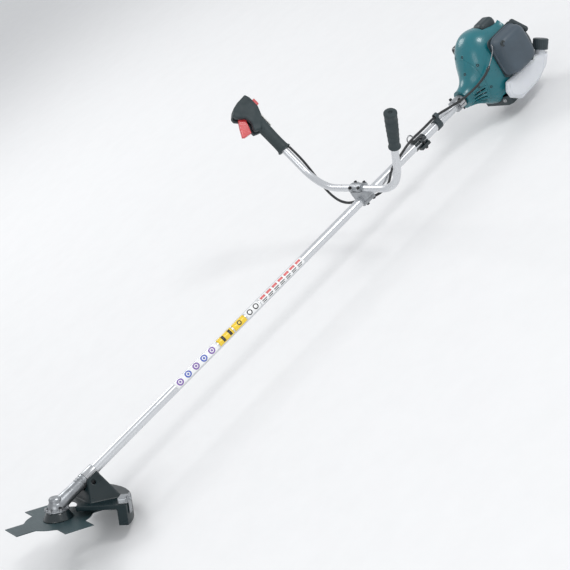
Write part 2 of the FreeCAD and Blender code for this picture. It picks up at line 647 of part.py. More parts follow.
def make_throttle_grip():
    """Throttle grip on the right arm: two shells, trigger, lock lever and stop switch."""
    depth = 21
    handle = Part.makeLoft([
        Part.Wire(Part.makeCircle(radius, Vector(x, 0, z), Vector(0, 0, 1)))
        for z, radius, x in ((0, 19, 0), (9, 18, 0), (60, 17.5, 0), (110, 18.5, 0), (134, 20, 2))
    ], True, False)
    outline = [(-17, 118), (-27, 142), (-27, 176), (-21, 191), (14, 186), (33, 180), (49, 166), (50, 155),
               (41, 146), (27, 136), (24, 116), (33, 102), (33, 90), (14, 84)]
    corners = [Vector(x, -depth, z) for x, z in outline]
    head = Part.Face(Part.makePolygon(corners + corners[:1])).extrude(Vector(0, 2 * depth, 0))
    head = head.makeFillet(5, [e for e in head.Edges if abs(abs(e.CenterOfMass.y) - depth) < 0.1])
    collar = Part.makeCylinder(21, 5)
    solid = handle.fuse([head, collar]).removeSplitter()
    rooms = [
        Part.makeCylinder(size("bar_od / 2") + 0.02, size("arm_end - grip_start") + 1, Vector(0, 0, -1)),
        Part.makeBox(60, 13, 76, Vector(11, -6.5, 86)),
        Part.makeBox(12, 11, 52, Vector(-28, -5.5, 78)),
        Part.makeBox(13, 14, 34, Vector(-30, -7, 146)),
        Part.makeCylinder(4.45, 60, Vector(-14.4, 0, -1)),
    ]
    solid = solid.cut(rooms)
    pivot = Vector(SIZES["trigger_x"], 0, SIZES["trigger_z"])
    lever_pivot = Vector(-19.5, 0, 124)
    across = Vector(0, 1, 0)
    pins = [Part.makeCylinder(1.5, 18, point + Vector(0, -7.8, 0), across) for point in (pivot, lever_pivot)]
    sockets = [Part.makeCylinder(1.6, 9, point + Vector(0, -8.5, 0), across)
               for point in (pivot, lever_pivot)]
    left_half = Part.makeBox(200, 100, 400, Vector(-100, 0, -50))
    right_half = Part.makeBox(200, 100, 400, Vector(-100, -100, -50))
    finish("throttle_shell_left", made(solid.common(left_half).fuse(pins).removeSplitter()), arm_frame(-1))
    finish("throttle_shell_right", made(solid.common(right_half).cut(sockets)), arm_frame(-1))
    side = [(25, 150), (42, 148), (56, 126), (69, 103), (62, 98), (40, 97), (33, 114), (25, 134)]
    corners = [Vector(x, -5.8, z) for x, z in side]
    blade = Part.Face(Part.makePolygon(corners + corners[:1])).extrude(Vector(0, 11.6, 0))
    hub = Part.makeCylinder(6.5, 11.6, pivot + Vector(0, -5.8, 0), Vector(0, 1, 0))
    hole = Part.makeCylinder(1.5 + SIZES["running"], 20, pivot + Vector(0, -10, 0), Vector(0, 1, 0))
    finish("throttle_trigger", made(blade.fuse(hub).removeSplitter().cut(hole)), arm_frame(-1))
    lever = Part.makeBox(3, 9.6, 44, Vector(-24, -4.8, 80)).fuse([
        Part.makeCylinder(3.4, 9.6, lever_pivot + Vector(0, -4.8, 0), Vector(0, 1, 0)),
        Part.makeBox(4.5, 9.6, 4, Vector(-24, -4.8, 120))])
    hole = Part.makeCylinder(1.5 + SIZES["running"], 20, lever_pivot + Vector(0, -10, 0), Vector(0, 1, 0))
    finish("lock_lever", made(lever.removeSplitter().cut(hole)), arm_frame(-1))
    switch = Part.makeBox(9, 13.2, 24, Vector(-26.5, -6.6, 147)).fuse(
        Part.makeBox(18, 10, 20, Vector(-41, -5, 149)))
    finish("stop_switch", made(switch.removeSplitter()), arm_frame(-1))


def make_bar_clamp():
    """Under strap, middle block and top cap, pulled together round the tube and the bar."""
    bar_height = SIZES["bar_height"]
    long, wide = 34, 48
    tube_room = cylinder("tube_od / 2 + 0.02", 80, (-40, 0, 0), ALONG_X)
    bar_room = cylinder("bar_od / 2 + 0.02", 80, (0, -40, "bar_height"), ALONG_Y)
    holes = [cylinder(2.55, 90, (x, y, -40)) for x in (-12.5, 12.5) for y in (-19.6, 19.6)]
    at_clamp = TUBE * Placement(Vector(SIZES["clamp_x"], 0, 0), Rotation())
    strap = cut(fuse(cylinder(17.5, long, (-long / 2, 0, 0), ALONG_X),
                     block(long, wide, 8, (-long / 2, -wide / 2, -8.4))),
                tube_room, block(80, 80, 60, (-40, -40, -0.4)), *holes)
    finish("clamp_strap", strap, at_clamp)
    middle = cut(
        fuse(block(long, wide, bar_height - 1.2, (-long / 2, -wide / 2, 0.4)),
             cylinder(15.5, wide, (0, -wide / 2, bar_height), ALONG_Y)),
        tube_room, bar_room, block(80, 80, 60, (-40, -40, bar_height - 0.8)), *holes,
        block(80, 20, 12, (-40, 23, 3)), block(80, 20, 12, (-40, -43, 3)))
    finish("clamp_block", middle, at_clamp)
    cap = cut(fuse(cylinder(15.5, wide, (0, -wide / 2, bar_height), ALONG_Y),
                   block(long, 14, 8, (-long / 2, -wide / 2, bar_height + 0.8)),
                   block(long, 14, 8, (-long / 2, wide / 2 - 14, bar_height + 0.8))),
              bar_room, block(80, 80, 60, (-40, -40, bar_height - 59.2)), *holes,
              *[cylinder(4.6, 12, (x, y, bar_height + 8.8)) for x in (-12.5, 12.5) for y in (-19.6, 19.6)])
    finish("clamp_cap", cap, at_clamp)
    bolts = []
    for x in (-12.5, 12.5):
        for y in (-19.6, 19.6):
            shank = cylinder(2.5, bar_height + 18, (x, y, -9))
            head = cylinder(4.25, 5, (x, y, bar_height + 8.9))
            nut = hexagon(8, 4.5, (x, y, -12.9))
            bolts.append(cut(fuse(shank, head, nut), hexagon(4, 4, (x, y, bar_height + 11))))
    finish("clamp_bolts", fuse(*bolts), at_clamp)


CABLE_ROUTE = [
    (-1050, -247, 160), (-1051, -230, 124), (-1052, -222, 84), (-1051, -214, 42), (-1050, -206, 2),
    (-1050, -184, -32), (-1051, -146, -44), (-1053, -102, -38), (-1062, -56, -34), (-1080, -12, -31),
    (-1103, 20, -14), (-1128, 24, 14), (-1180, 16, 20), (-1234, 13, 29), (-1290, 14, 27),
    (-1345, 15, 29), (-1395, 20, 19), (-1440, 34, 14), (-1487, 56, 22), (-1528, 80, 42), (-1561, 86, 74),
]


def make_cable():
    """Throttle cable: from the throttle grip round the bar, along the tube and to the carburettor."""
    radius = 4
    solid, wire, radii = tube_along(CABLE_ROUTE, radius)
    print("throttle cable radii:", " ".join(f"{r:.0f}" for r in radii))
    expected = math.pi * radius ** 2 * wire.Length
    print(f"throttle cable length {wire.Length:.0f} mm, volume {solid.Volume:.0f} of {expected:.0f} mm3")
    finish("throttle_cable", made(solid), TUBE)


# ---------------------------------------------------------------- hanger and bands


def make_hanger():
    """Split band with a lug and a ring for the harness hook, and the strap that holds the cable."""
    at_hanger = TUBE * Placement(Vector(SIZES["hanger_x"], 0, 0), Rotation())
    on_tube = "tube_od / 2 + 0.02"
    lug_x, pivot_z = 6, 16.6
    band = cut(
        fuse(cylinder(15.2, 34, (-34, 0, 0), ALONG_X), cylinder(14, 12, (-2.5, 0, 0), ALONG_X),
             block(6, 10, 10, (lug_x - 3, -5, 11.6)), block(34, 13, 9, (-34, 6, -17)),
             block(20, 9, 8, (-27, 11, 3))),
        cylinder(on_tube, 60, (-45, 0, 0), ALONG_X), cylinder(2.9, 20, (lug_x - 10, 0, pivot_z), ALONG_X),
        block(60, 12, 5, (-45, 9, -3)), cylinder(2.55, 60, (-17, 15.5, -30)))
    finish("hanger_band", band, at_hanger)
    hanger_bolt = fuse(cylinder(2.5, 34, (-17, 15.5, -20)), hexagon(8, 4, (-17, 15.5, 11.1)),
                       hexagon(8, 3.9, (-17, 15.5, -21)))
    collar_x = -SIZES["hanger_x"] - SIZES["bare_tube"]
    collar_bolts = [cut(fuse(cylinder(2.5, 34, (collar_x + 20, y, -17)),
                             cylinder(4.3, 5, (collar_x + 20, y, 13.1))),
                        hexagon(4, 4, (collar_x + 20, y, 15.5))) for y in (-19, 19)]
    socket_bolts.extend(in_frame(at_hanger, hanger_bolt, *collar_bolts))
    ring_r = size("hanger_ring_d / 2 - hanger_wire_d / 2")
    loop = ring(ring_r, "hanger_wire_d / 2", (lug_x, 0, pivot_z + ring_r), ALONG_Y)
    finish("hanger_ring", loop, at_hanger)
    strap = cut(
        fuse(cylinder(15.2, 18, (-9, 0, 0), ALONG_X), cylinder(8, 12, (-6, 15, 28.8), ALONG_X),
             block(14, 9, 20, (-7, 6, 8))),
        cylinder(6, 30, (-15, 15, 28.8), ALONG_X), cylinder(on_tube, 30, (-15, 0, 0), ALONG_X))
    finish("cable_strap", strap, TUBE * Placement(Vector(SIZES["cable_band_x"], 0, 0), Rotation()))


# ---------------------------------------------------------------- engine

COVER_SECTIONS = [
    (0, 28, -29, 28, 2), (-26, 32, -36, 34, 2), (-48, 40, -48, 56, 2), (-68, 53, -66, 94, 2.1),
    (-94, 65, -84, 126, 2.2), (-150, 71, -86, 133, 2.4), (-214, 62, -60, 121, 2.8),
]
STARTER_SECTIONS = [
    (-217, 55, -46, 92, 2.6), (-240, 47, -46, 80, 2.4), (-266, 41, -44, 62, 2.2), (-284, 34, -36, 46, 2.2),
]


def tank_profile(margin):
    """Side view of the tank as a face in the X-Z plane, grown by a margin."""
    low = -SIZES["axis_height"] + 2
    outline = [(-105, -24), (-90, -45), (-92, -68), (-122, low), (-200, low + 1), (-252, -75), (-280, -46),
               (-262, -40), (-222, -24)]
    middle_x, middle_z = -190, -57
    points = [Vector(x + math.copysign(margin, x - middle_x), 0, z + math.copysign(margin, z - middle_z))
              for x, z in outline]
    return Part.Face(Part.makePolygon(points + points[:1]))


def tank_room(margin):
    """Space the tank takes up, with a margin all round; its two sides reach past the foot."""
    half = SIZES["tank_half_width"] + margin
    whole = tank_profile(margin).extrude(Vector(0, 2 * half, 0)).translated(Vector(0, -half, 0))
    between_sides = 2 * (SIZES["saddle_half_width"] - margin)
    nose = Part.makeBox(60, between_sides, 90, Vector(SIZES["tank_nose"] + margin, -between_sides / 2, -110))
    return whole.cut(nose)


def make_engine_clamp():
    """Aluminium collar that grips the tube in front of the clutch housing."""
    collar = cut(fuse(cylinder(19, 30, (2, 0, 0), ALONG_X), block(20, 52, 16, (10, -26, -8))),
                 cylinder("tube_od / 2 + 0.02", 60, (-10, 0, 0), ALONG_X),
                 block(60, 60, 1.6, (-10, -30, -0.8)), *[cylinder(2.55, 60, (20, y, -30)) for y in (-19, 19)])
    finish("engine_clamp", collar, ENGINE)


def make_shells():
    """Clutch housing and engine cover, one smooth form parted at a plane, and the starter housing."""
    wall = SIZES["shell_wall"]
    split = SIZES["split_x"]
    outer = lofted(COVER_SECTIONS)
    inner = lofted(COVER_SECTIONS, wall)
    shell = outer.cut(inner)
    front_wall = outer.common(Part.makeBox(14, 200, 200, Vector(-14, -100, -100)))
    bearing_seat = outer.common(Part.makeBox(12, 200, 200, Vector(-33, -100, -100)))
    housing = shell.fuse([front_wall, bearing_seat])
    housing = housing.common(Part.makeBox(-split, 300, 300, Vector(split, -150, -150)))
    axis = Vector(-1, 0, 0)
    bores = [
        Part.makeCylinder(size("tube_od / 2 + 0.02"), 10.5, Vector(0.2, 0, 0), axis),
        Part.makeCylinder(9, 40, Vector(0, 0, 0), axis),
        Part.makeCylinder(16, 12, Vector(-22, 0, 0), axis),
    ]
    housing = housing.cut(bores)
    for step in range(11):
        slot = Part.makeBox(38, 80, 5, Vector(-57, 29, -2.5))
        slot.rotate(Vector(0, 0, 0), Vector(1, 0, 0), 172 + 18 * step)
        housing = housing.cut(slot)
    foot_width = SIZES["foot_width"]
    foot_room = Part.makeBox(46, foot_width + 2, 60,
                             Vector(SIZES["foot_front"] - 45, -foot_width / 2 - 1, -121.5))
    finish("clutch_housing", made(housing), ENGINE)
    cover = shell.common(Part.makeBox(split - SIZES["cover_end"] - 0.4, 300, 300,
                                      Vector(SIZES["cover_end"], -150, -150)))
    plug_x = SIZES["cylinder_x"] - 14
    openings = [
        tank_room(1), foot_room,
        Part.makeBox(102, 40, 114, Vector(-236, 43, -22)),
        Part.makeBox(124, 40, 130, Vector(-236, 69.5, -24)),
        Part.makeBox(88, 40, 96, Vector(-208, -96, -2)),
        Part.makeBox(62, 50, 60, Vector(plug_x - 31, -15, 92)),
    ]
    cover = cover.cut(openings)
    grille = [Part.makeBox(3.2, 56, 40, Vector(-212 + 7 * step, -28, 112)) for step in range(2)]
    cover = cover.cut(grille)
    finish("engine_cover", made(max(cover.Solids, key=lambda s: s.Volume)), ENGINE)
    back = lofted(STARTER_SECTIONS)
    hollow = lofted(STARTER_SECTIONS[:-1] + [(-281, 35, -37, 48, 2.2)], wall)
    starter = back.cut(hollow)
    post = Part.makeCylinder(5, 32, Vector(-252, 0, 0), Vector(-1, 0, 0))
    post = post.common(back)
    rope_hole = Part.makeCylinder(3, 60, Vector(-258, 18, 20), Vector(0, 0.6, 0.8))
    vents = []
    for step in range(9):
        vent = Part.makeBox(30, 18, 3.2, Vector(-300, 13, -1.6))
        vent.rotate(Vector(0, 0, 0), Vector(1, 0, 0), 40 * step)
        vents.append(vent)
    starter = starter.fuse(post).cut([rope_hole] + vents)
    finish("starter_housing", made(max(starter.Solids, key=lambda s: s.Volume)), ENGINE)


def make_clutch():
    """Drum on the drive shaft and two shoes swinging on the flywheel's pins."""
    drum = cut(
        fuse(cylinder("clutch_drum_d / 2", 23, (-69, 0, 0), ALONG_X), cylinder(8, 30, (-49, 0, 0), ALONG_X)),
        cylinder("clutch_drum_d / 2 - 2.5", 20, (-70, 0, 0), ALONG_X),
        cylinder("drive_rod_d / 2 + running / 2", 40, (-50, 0, 0), ALONG_X))
    finish("clutch_drum", drum, ENGINE)
    for label, turn, facing in (("clutch_shoe_upper", 0, 1), ("clutch_shoe_lower", 180, -1)):
        arc = Part.Face(sector_wire(10, size("shoe_d / 2"), 84, -66)).extrude(Vector(0, 0, 13))
        arc.Placement = Placement(Vector(0, 0, 0), Rotation(Vector(0, 1, 0), 90)) * arc.Placement
        if arc.BoundBox.Center.z * facing < 0:
            arc.rotate(Vector(0, 0, 0), Vector(1, 0, 0), 180)
        hole = Part.makeCylinder(3 + SIZES["running"], 40, Vector(-80, 17, 6), Vector(1, 0, 0))
        hole.rotate(Vector(0, 0, 0), Vector(1, 0, 0), turn)
        finish(label, made(arc.cut(hole)), ENGINE)
    pins = [cylinder(3, 20, (-73, y, z), ALONG_X) for y, z in ((17, 6), (-17, -6))]
    fins = []
    for step in range(14):
        fin = block(13, 16, 2, (-100, 24, -1))
        doc.recompute()
        fin.Placement = Placement(Vector(0, 0, 0), Rotation(Vector(1, 0, 0), 360 * step / 14)) * fin.Placement
        fins.append(fin)
    flywheel = cut(fuse(cylinder("flywheel_d / 2", 18, (-88, 0, 0), ALONG_X), *fins, *pins),
                   cylinder("6 + running / 2", 60, (-110, 0, 0), ALONG_X))
    finish("flywheel", flywheel, ENGINE)


def make_crank():
    """Crankshaft with two full round webs, and the piston, rod and pins at top dead centre."""
    x = SIZES["cylinder_x"]
    shaft = fuse(
        cylinder(6, f"-56 + {-x} - 12 ", (x + 12, 0, 0), ALONG_X),
        cylinder(24, 8, (x + 5, 0, 0), ALONG_X), cylinder(24, 8, (x - 13, 0, 0), ALONG_X),
        cylinder(6, "-starter_start + 11 - 183", (-228, 0, 0), ALONG_X),
        cylinder(11, 5, (-231, 0, 0), ALONG_X))
    finish("crankshaft", shaft, ENGINE)
    throw = SIZES["crank_throw"]
    wrist = throw + SIZES["rod_length"]
    piston = cut(cylinder("bore_d / 2 - running", 31, (x, 0, wrist - 12)),
                 cylinder(15, 24, (x, 0, wrist - 13)),
                 cylinder(4.02, 60, (x - 30, 0, wrist), ALONG_X),
                 *[ring(18, 0.7, (x, 0, wrist + 15 - 3 * k)) for k in (0, 1)])
    wrist_pin = cylinder(4, 30, (x - 15, 0, wrist), ALONG_X)
    rod = cut(fuse(cylinder(8.5, 7, (x - 3.5, 0, throw), ALONG_X),
                   cylinder(7, 7, (x - 3.5, 0, wrist), ALONG_X),
                   block(5, 9, wrist - throw, (x - 2.5, -4.5, throw))),
              cylinder(5.02, 20, (x - 10, 0, throw), ALONG_X), cylinder(4.02, 20, (x - 10, 0, wrist), ALONG_X))
    crank_pin = cylinder(5, 8.4, (x - 4.2, 0, throw), ALONG_X)
    finish("piston_set", fuse(piston, wrist_pin, rod, crank_pin), ENGINE)


def make_crankcase():
    x = SIZES["cylinder_x"]
    case = cut(
        fuse(cylinder(33, 76, (x - 38, 0, 0), ALONG_X), block(60, 60, 12, (x - 30, -30, 23.6)),
             block(76, 40, 14, (x - 38, -20, -46)), cylinder(22, 84, (x - 42, 0, 0), ALONG_X)),
        cylinder(26, 32, (x - 16, 0, 0), ALONG_X), cylinder("bore_d / 2 + 0.5", 40, (x, 0, 0)),
        cylinder(17.5, 10.5, (x + 25.8, 0, 0), ALONG_X), cylinder(17.5, 10.5, (x - 36.3, 0, 0), ALONG_X),
        cylinder(8, 100, (x - 50, 0, 0), ALONG_X))
    finish("crankcase", case, ENGINE)
    fins = [block(62, 62, 2.2, (x - 31, -31, 46 + 8 * k)) for k in range(6)]
    barrel = cut(fuse(cylinder(22.5, 56, (x, 0, 36)), block(60, 60, 6, (x - 30, -30, 36)), *fins,
                      cylinder(27, 10, (x, 0, 87)), block(26, 17, 28, (x - 13, 20, 46)), block(30, 22, 26, (x - 15, -42, 46))),
                 cylinder("bore_d / 2", 50, (x, 0, 34)), cylinder(5, 30, (x, 0, 80)),
                 cylinder(7, 40, (x, 15, 60), ALONG_Y), cylinder(8, 40, (x, -56, 60), ALONG_Y))
    finish("cylinder", barrel, ENGINE)
    plug = fuse(cylinder(4.95, 14, (x, 0, 84.2)), hexagon(15, 7, (x, 0, 97.2)), cylinder(5, 12, (x, 0, 104)),
                cylinder(2.5, 4, (x, 0, 116)))
    finish("spark_plug", plug, ENGINE)


def make_plug_cap():
    x = SIZES["cylinder_x"]
    boot = Part.makeBox(56, 44, 36, Vector(x - 42, -12, 98))
    boot = boot.makeFillet(13, [e for e in boot.Edges if e.CenterOfMass.z > 102])
    socket = Part.makeCylinder(9.2, 9, Vector(x, 0, 97), Vector(0, 0, 1)).fuse(
        Part.makeCylinder(5.05, 24, Vector(x, 0, 97), Vector(0, 0, 1)))
    finish("plug_cap", made(boot.cut(socket)), ENGINE)


def make_muffler():
    x = SIZES["cylinder_x"]
    body = Part.makeBox(84, 38, 92, Vector(x - 36, -104, 0))
    outer_edges = [e for e in body.Edges if e.CenterOfMass.y < -90 or abs(e.tangentAt(0).y) > 0.9]
    body = body.makeFillet(11, outer_edges)
    pipe = Part.makeCylinder(10, 26, Vector(x, -68.5, 60), Vector(0, 1, 0))
    outlet = Part.makeCylinder(7, 16, Vector(x - 20, -100, 14), Vector(0, -0.7, -0.7))
    hollow = Part.makeCylinder(5.5, 20, Vector(x - 20, -99, 15), Vector(0, -0.7, -0.7))
    slots = [Part.makeBox(3, 3, 44, Vector(x - 24 + 9 * k, -105, 26)) for k in range(7)]
    finish("muffler", made(body.fuse([pipe, outlet]).removeSplitter().cut([hollow] + slots)), ENGINE)


def make_carburettor():
    x = SIZES["cylinder_x"]
    body = fuse(block(40, 24, 42, (x - 20, 38, 38)), cylinder(14, 7, (x, 61, 60), ALONG_Y),
                cylinder(8, 6.5, (x, 50, 32)))
    bore = cylinder(7, 60, (x, 30, 60), ALONG_Y)
    spindle = cylinder(2.5 + 0.05, 30, (x + 8, 50, 68))
    finish("carburettor", cut(body, bore, spindle), ENGINE)
    arm = fuse(cylinder(2.5, 16, (x + 8, 50, 68.2)), cylinder(6, 3, (x + 8, 50, 84)),
               block(20, 6, 3, (x + 8, 47, 84)), cylinder(4, 6, (x + 27, 50, 82.5)))
    finish("throttle_arm", arm, ENGINE)
    base = rounded(block(112, 4, 124, (-226, 70, -21)), 14, lambda e: abs(e.tangentAt(0).y) > 0.9)
    base = cut(fuse(base, cylinder(15, 3, (x, 68.1, 60), ALONG_Y)),
               cylinder(8, 20, (x, 60, 60), ALONG_Y), cylinder(2.55, 20, (-146, 60, 16), ALONG_Y),
               cylinder(4.2, 20, (-208, 62, 22), ALONG_Y))
    finish("air_cleaner_base", base, ENGINE)
    element = cut(block(63, 20, 80, (x - 30, 75, 8)), block(47, 12, 62, (x - 22, 74, 17)))
    finish("air_filter", element, ENGINE)
    box = Part.makeBox(112, 46, 124, Vector(-226, 74.4, -21))
    box = box.makeFillet(14, [e for e in box.Edges if abs(e.tangentAt(0).y) > 0.9])
    box = box.makeFillet(12, [e for e in box.Edges if e.CenterOfMass.y > 119])
    inside = Part.makeBox(102, 38, 114, Vector(-221, 74, -16))
    rounded_edges = [e for e in inside.Edges if abs(e.tangentAt(0).y) > 0.9 or e.CenterOfMass.y > 111]
    inside = inside.makeFillet(10, rounded_edges)
    finish("air_cleaner_cover", made(box.cut(inside)), ENGINE)
    lever = fuse(cylinder(2.5, 10, (-146, 63.8, 16), ALONG_Y), block(5, 3, 24, (-148.5, 64, 16)),
                 cylinder(5, 3, (-146, 64, 16), ALONG_Y), block(9, 5, 5, (-149, 62.4, 36)))
    finish("choke_lever", lever, ENGINE)
    bulb = fuse(cylinder(4.1, 8, (-208, 64.5, 22), ALONG_Y), ball(8, (-208, 60, 22)))
    finish("primer_bulb", bulb, ENGINE)


def make_tank():
    """Fuel tank slung under the engine, with a filler neck at the rear left, and its screw cap."""
    half, saddle, inner_half = SIZES["tank_half_width"], SIZES["saddle_top"], SIZES["saddle_half_width"]
    body = tank_room(0)
    edges = [e for e in body.Edges if abs(abs(e.CenterOfMass.y) - half) < 0.1]
    body = body.makeFillet(11, edges)
    body = body.cut([
        Part.makeBox(300, 2 * inner_half, 60, Vector(-235, -inner_half, saddle)),
        Part.makeBox(80, 2 * inner_half - 16, 60, Vector(-300, -inner_half, saddle + 3)),
    ])
    neck_base, neck_axis = Vector(-268, 68, -30), Vector(-0.55, 0.19, 0.81)
    neck_axis.normalize()
    neck_frame = Placement(neck_base, Rotation(Vector(0, 0, 1), neck_axis))
    neck = Part.makeCylinder(15, 36, Vector(0, 0, -16))
    neck.Placement = neck_frame
    bore = Part.makeCylinder(12, 60, Vector(0, 0, -12))
    bore.Placement = neck_frame
    hollow = Part.makeBox(100, 2 * half - 8, 26, Vector(-256, -half + 4, saddle - 28))
    finish("fuel_tank", made(body.fuse(neck).removeSplitter().cut([hollow, bore])), ENGINE)
    cap = Part.makeCylinder(22, 30)
    cap = cap.makeFillet(3, [e for e in cap.Edges if e.CenterOfMass.z > 29])
    grips = []
    for step in range(24):
        grip = Part.makeCylinder(1.1, 30, Vector(22.5, 0, 3))
        grip.rotate(Vector(0, 0, 0), Vector(0, 0, 1), 15 * step)
        grips.append(grip)
    cap = cap.cut([Part.makeCylinder(15.4, 23, Vector(0, 0, -1))] + grips)
    stopper = Part.makeCylinder(11.6, 14, Vector(0, 0, 12))
    closed = neck_frame * Placement(Vector(0, 0, 0.5), Rotation())
    finish("fuel_cap", made(cap.fuse(stopper)), ENGINE * closed)


def make_foot():
    """Plastic foot under the nose of the engine, on which it rests, with four pockets in its top."""
    low = -SIZES["axis_height"]
    front, length, width = SIZES["foot_front"], SIZES["foot_length"], SIZES["foot_width"]
    half, corner = width / 2, 10
    outline = [(front - length, -half), (front - corner, -half), (front, -half + corner), (front, half - corner),
               (front - corner, half), (front - length, half)]
    foot = plate("foot_plate", outline, 28, None)
    doc.recompute()
    solid = foot.Shape.copy()
    solid.translate(Vector(0, 0, low))
    pockets = [Part.makeBox(length - 10, 24, 40, Vector(front - length + 5, y, low + 6))
               for y in (-51, -25, 1, 27)]
    finish("engine_foot", made(solid.cut(pockets)), ENGINE)


def make_starter():
    """Recoil reel on the housing's post, and the pull handle on its rope."""
    reel = cut(cylinder(34, 14, (-266, 0, 0), ALONG_X), cylinder("5 + running", 20, (-270, 0, 0), ALONG_X),
               ring(34, 4, (-259, 0, 0), ALONG_X), *[cylinder(5, 20, (-270, y, z), ALONG_X)
                                                     for y, z in ((18, 0), (-18, 0), (0, 18), (0, -18))])
    finish("starter_reel", reel, ENGINE)
    pull = Vector(0, 0.6, 0.8)
    frame = Placement(Vector(-258, 42, 52), Rotation(Vector(0, 0, 1), pull))
    bar = Part.makeCylinder(8.5, 46, Vector(0, -23, 12), Vector(0, 1, 0))
    ends = [Part.makeSphere(8.5, Vector(0, y, 12)) for y in (-23, 23)]
    stem = Part.makeCone(5, 7, 10, Vector(0, 0, 0))
    finish("starter_handle", made(bar.fuse(ends + [stem]).removeSplitter()), ENGINE * frame)


apex_x = make_gears()
make_blade()
make_arbor_parts()
make_gear_case(apex_x)
make_cone_cover()
make_bearings(apex_x)
make_guard()
make_guard_bracket()
make_line_cutter()
make_tube(apex_x)
make_handlebar()
make_plain_grip()
make_throttle_grip()
make_bar_clamp()
make_cable()
make_hanger()
make_engine_clamp()
make_shells()
make_clutch()
make_crank()
make_crankcase()
make_plug_cap()
make_muffler()
make_carburettor()
make_tank()
make_foot()
make_starter()
finish("socket_bolts", fuse(*socket_bolts), Placement())

doc.recompute()
failed = [obj.Label for obj in doc.Objects if "Invalid" in obj.State or "Error" in obj.State]
assert not failed, f"features that failed: {failed}"
for obj in finished:
    assert not obj.Shape.isNull() and obj.Shape.isValid(), f"{obj.Label} has no valid shape"
assert len(finished) <= 60, f"{len(finished)} sub-parts"
for obj in finished:
    obj.Shape.exportStep(f"parts/{obj.Label}.step")
whole = Part.makeCompound([obj.Shape for obj in finished]).BoundBox
print(f"{len(finished)} sub-parts, {whole.XLength:.1f} x {whole.YLength:.1f} x {whole.ZLength:.1f} mm")
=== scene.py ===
import json
import math

import bmesh
import bpy
from mathutils import Matrix, Vector


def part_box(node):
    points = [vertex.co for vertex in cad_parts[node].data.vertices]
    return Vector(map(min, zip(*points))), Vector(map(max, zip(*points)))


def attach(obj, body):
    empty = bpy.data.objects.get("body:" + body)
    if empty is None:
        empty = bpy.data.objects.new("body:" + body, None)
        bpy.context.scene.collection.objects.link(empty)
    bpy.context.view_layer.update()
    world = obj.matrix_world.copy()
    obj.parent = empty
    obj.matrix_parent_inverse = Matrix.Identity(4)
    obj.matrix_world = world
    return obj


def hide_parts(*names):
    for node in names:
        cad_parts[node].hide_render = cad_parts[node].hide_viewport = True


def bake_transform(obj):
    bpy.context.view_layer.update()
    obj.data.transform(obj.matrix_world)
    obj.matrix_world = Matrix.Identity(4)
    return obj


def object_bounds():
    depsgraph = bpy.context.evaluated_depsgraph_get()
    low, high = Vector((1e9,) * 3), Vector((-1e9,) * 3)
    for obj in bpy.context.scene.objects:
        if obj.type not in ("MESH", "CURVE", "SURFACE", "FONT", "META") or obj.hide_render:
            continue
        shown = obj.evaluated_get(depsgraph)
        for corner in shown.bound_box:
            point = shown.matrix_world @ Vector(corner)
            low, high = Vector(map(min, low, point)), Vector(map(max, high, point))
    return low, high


# Looks of a brush cutter: engine, straight tube, handlebar, cutting head.
# Row frame: +X towards the cutting head, +Y to the operator's left, +Z up, metres.

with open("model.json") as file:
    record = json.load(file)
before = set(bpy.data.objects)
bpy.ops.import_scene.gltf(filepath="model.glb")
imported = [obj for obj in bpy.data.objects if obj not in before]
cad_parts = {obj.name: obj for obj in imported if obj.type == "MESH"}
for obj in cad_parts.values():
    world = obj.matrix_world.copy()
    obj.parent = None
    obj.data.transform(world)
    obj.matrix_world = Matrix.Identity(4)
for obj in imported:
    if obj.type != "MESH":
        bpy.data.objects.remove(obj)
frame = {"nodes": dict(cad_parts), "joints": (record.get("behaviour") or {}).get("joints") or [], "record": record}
cad_box = [list(corner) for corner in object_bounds()]
nodes = frame["nodes"]
scene = bpy.context.scene

scene.view_settings.view_transform = "Standard"

MM = 0.001
WELD_DISTANCE = 0.01 * MM
TUBE_REACH = 1456  # from the clutch housing's front to the tube's front end, mm

# ---------------------------------------------------------------- places read from the frame


def middle(node):
    low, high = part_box(node)
    return (low + high) / 2


TUBE_R = (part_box("main_tube")[1].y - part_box("main_tube")[0].y) / 2
AXIS_Z = middle("main_tube").z
ENGINE_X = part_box("clutch_housing")[1].x
HEAD_X = ENGINE_X + TUBE_REACH * MM


def on_engine(x, y, z):
    """Point given in millimetres from where the tube enters the clutch housing."""
    return Vector((ENGINE_X + x * MM, y * MM, AXIS_Z + z * MM))


def on_tube(x, y, z):
    """Point given in millimetres from the tube's front end, about the tube's axis."""
    return Vector((HEAD_X + x * MM, y * MM, AXIS_Z + z * MM))


# ---------------------------------------------------------------- materials


def new_material(name):
    material = bpy.data.materials.new(name)
    material.use_nodes = True
    tree = material.node_tree
    return material, tree, tree.nodes["Principled BSDF"]


def coordinates(tree, stretch=(1, 1, 1)):
    texture = tree.nodes.new("ShaderNodeTexCoord")
    mapping = tree.nodes.new("ShaderNodeMapping")
    mapping.inputs["Scale"].default_value = stretch
    tree.links.new(texture.outputs["Object"], mapping.inputs["Vector"])
    return mapping.outputs["Vector"]


def noise(tree, vector, scale, detail=4, rough=0.55):
    node = tree.nodes.new("ShaderNodeTexNoise")
    node.inputs["Scale"].default_value = scale
    node.inputs["Detail"].default_value = detail
    node.inputs["Roughness"].default_value = rough
    tree.links.new(vector, node.inputs["Vector"])
    return node.outputs["Fac"]


def spread(tree, value, low, high, start=0.3, end=0.7):
    node = tree.nodes.new("ShaderNodeMapRange")
    node.inputs["From Min"].default_value = start
    node.inputs["From Max"].default_value = end
    node.inputs["To Min"].default_value = low
    node.inputs["To Max"].default_value = high
    tree.links.new(value, node.inputs["Value"])
    return node.outputs["Result"]


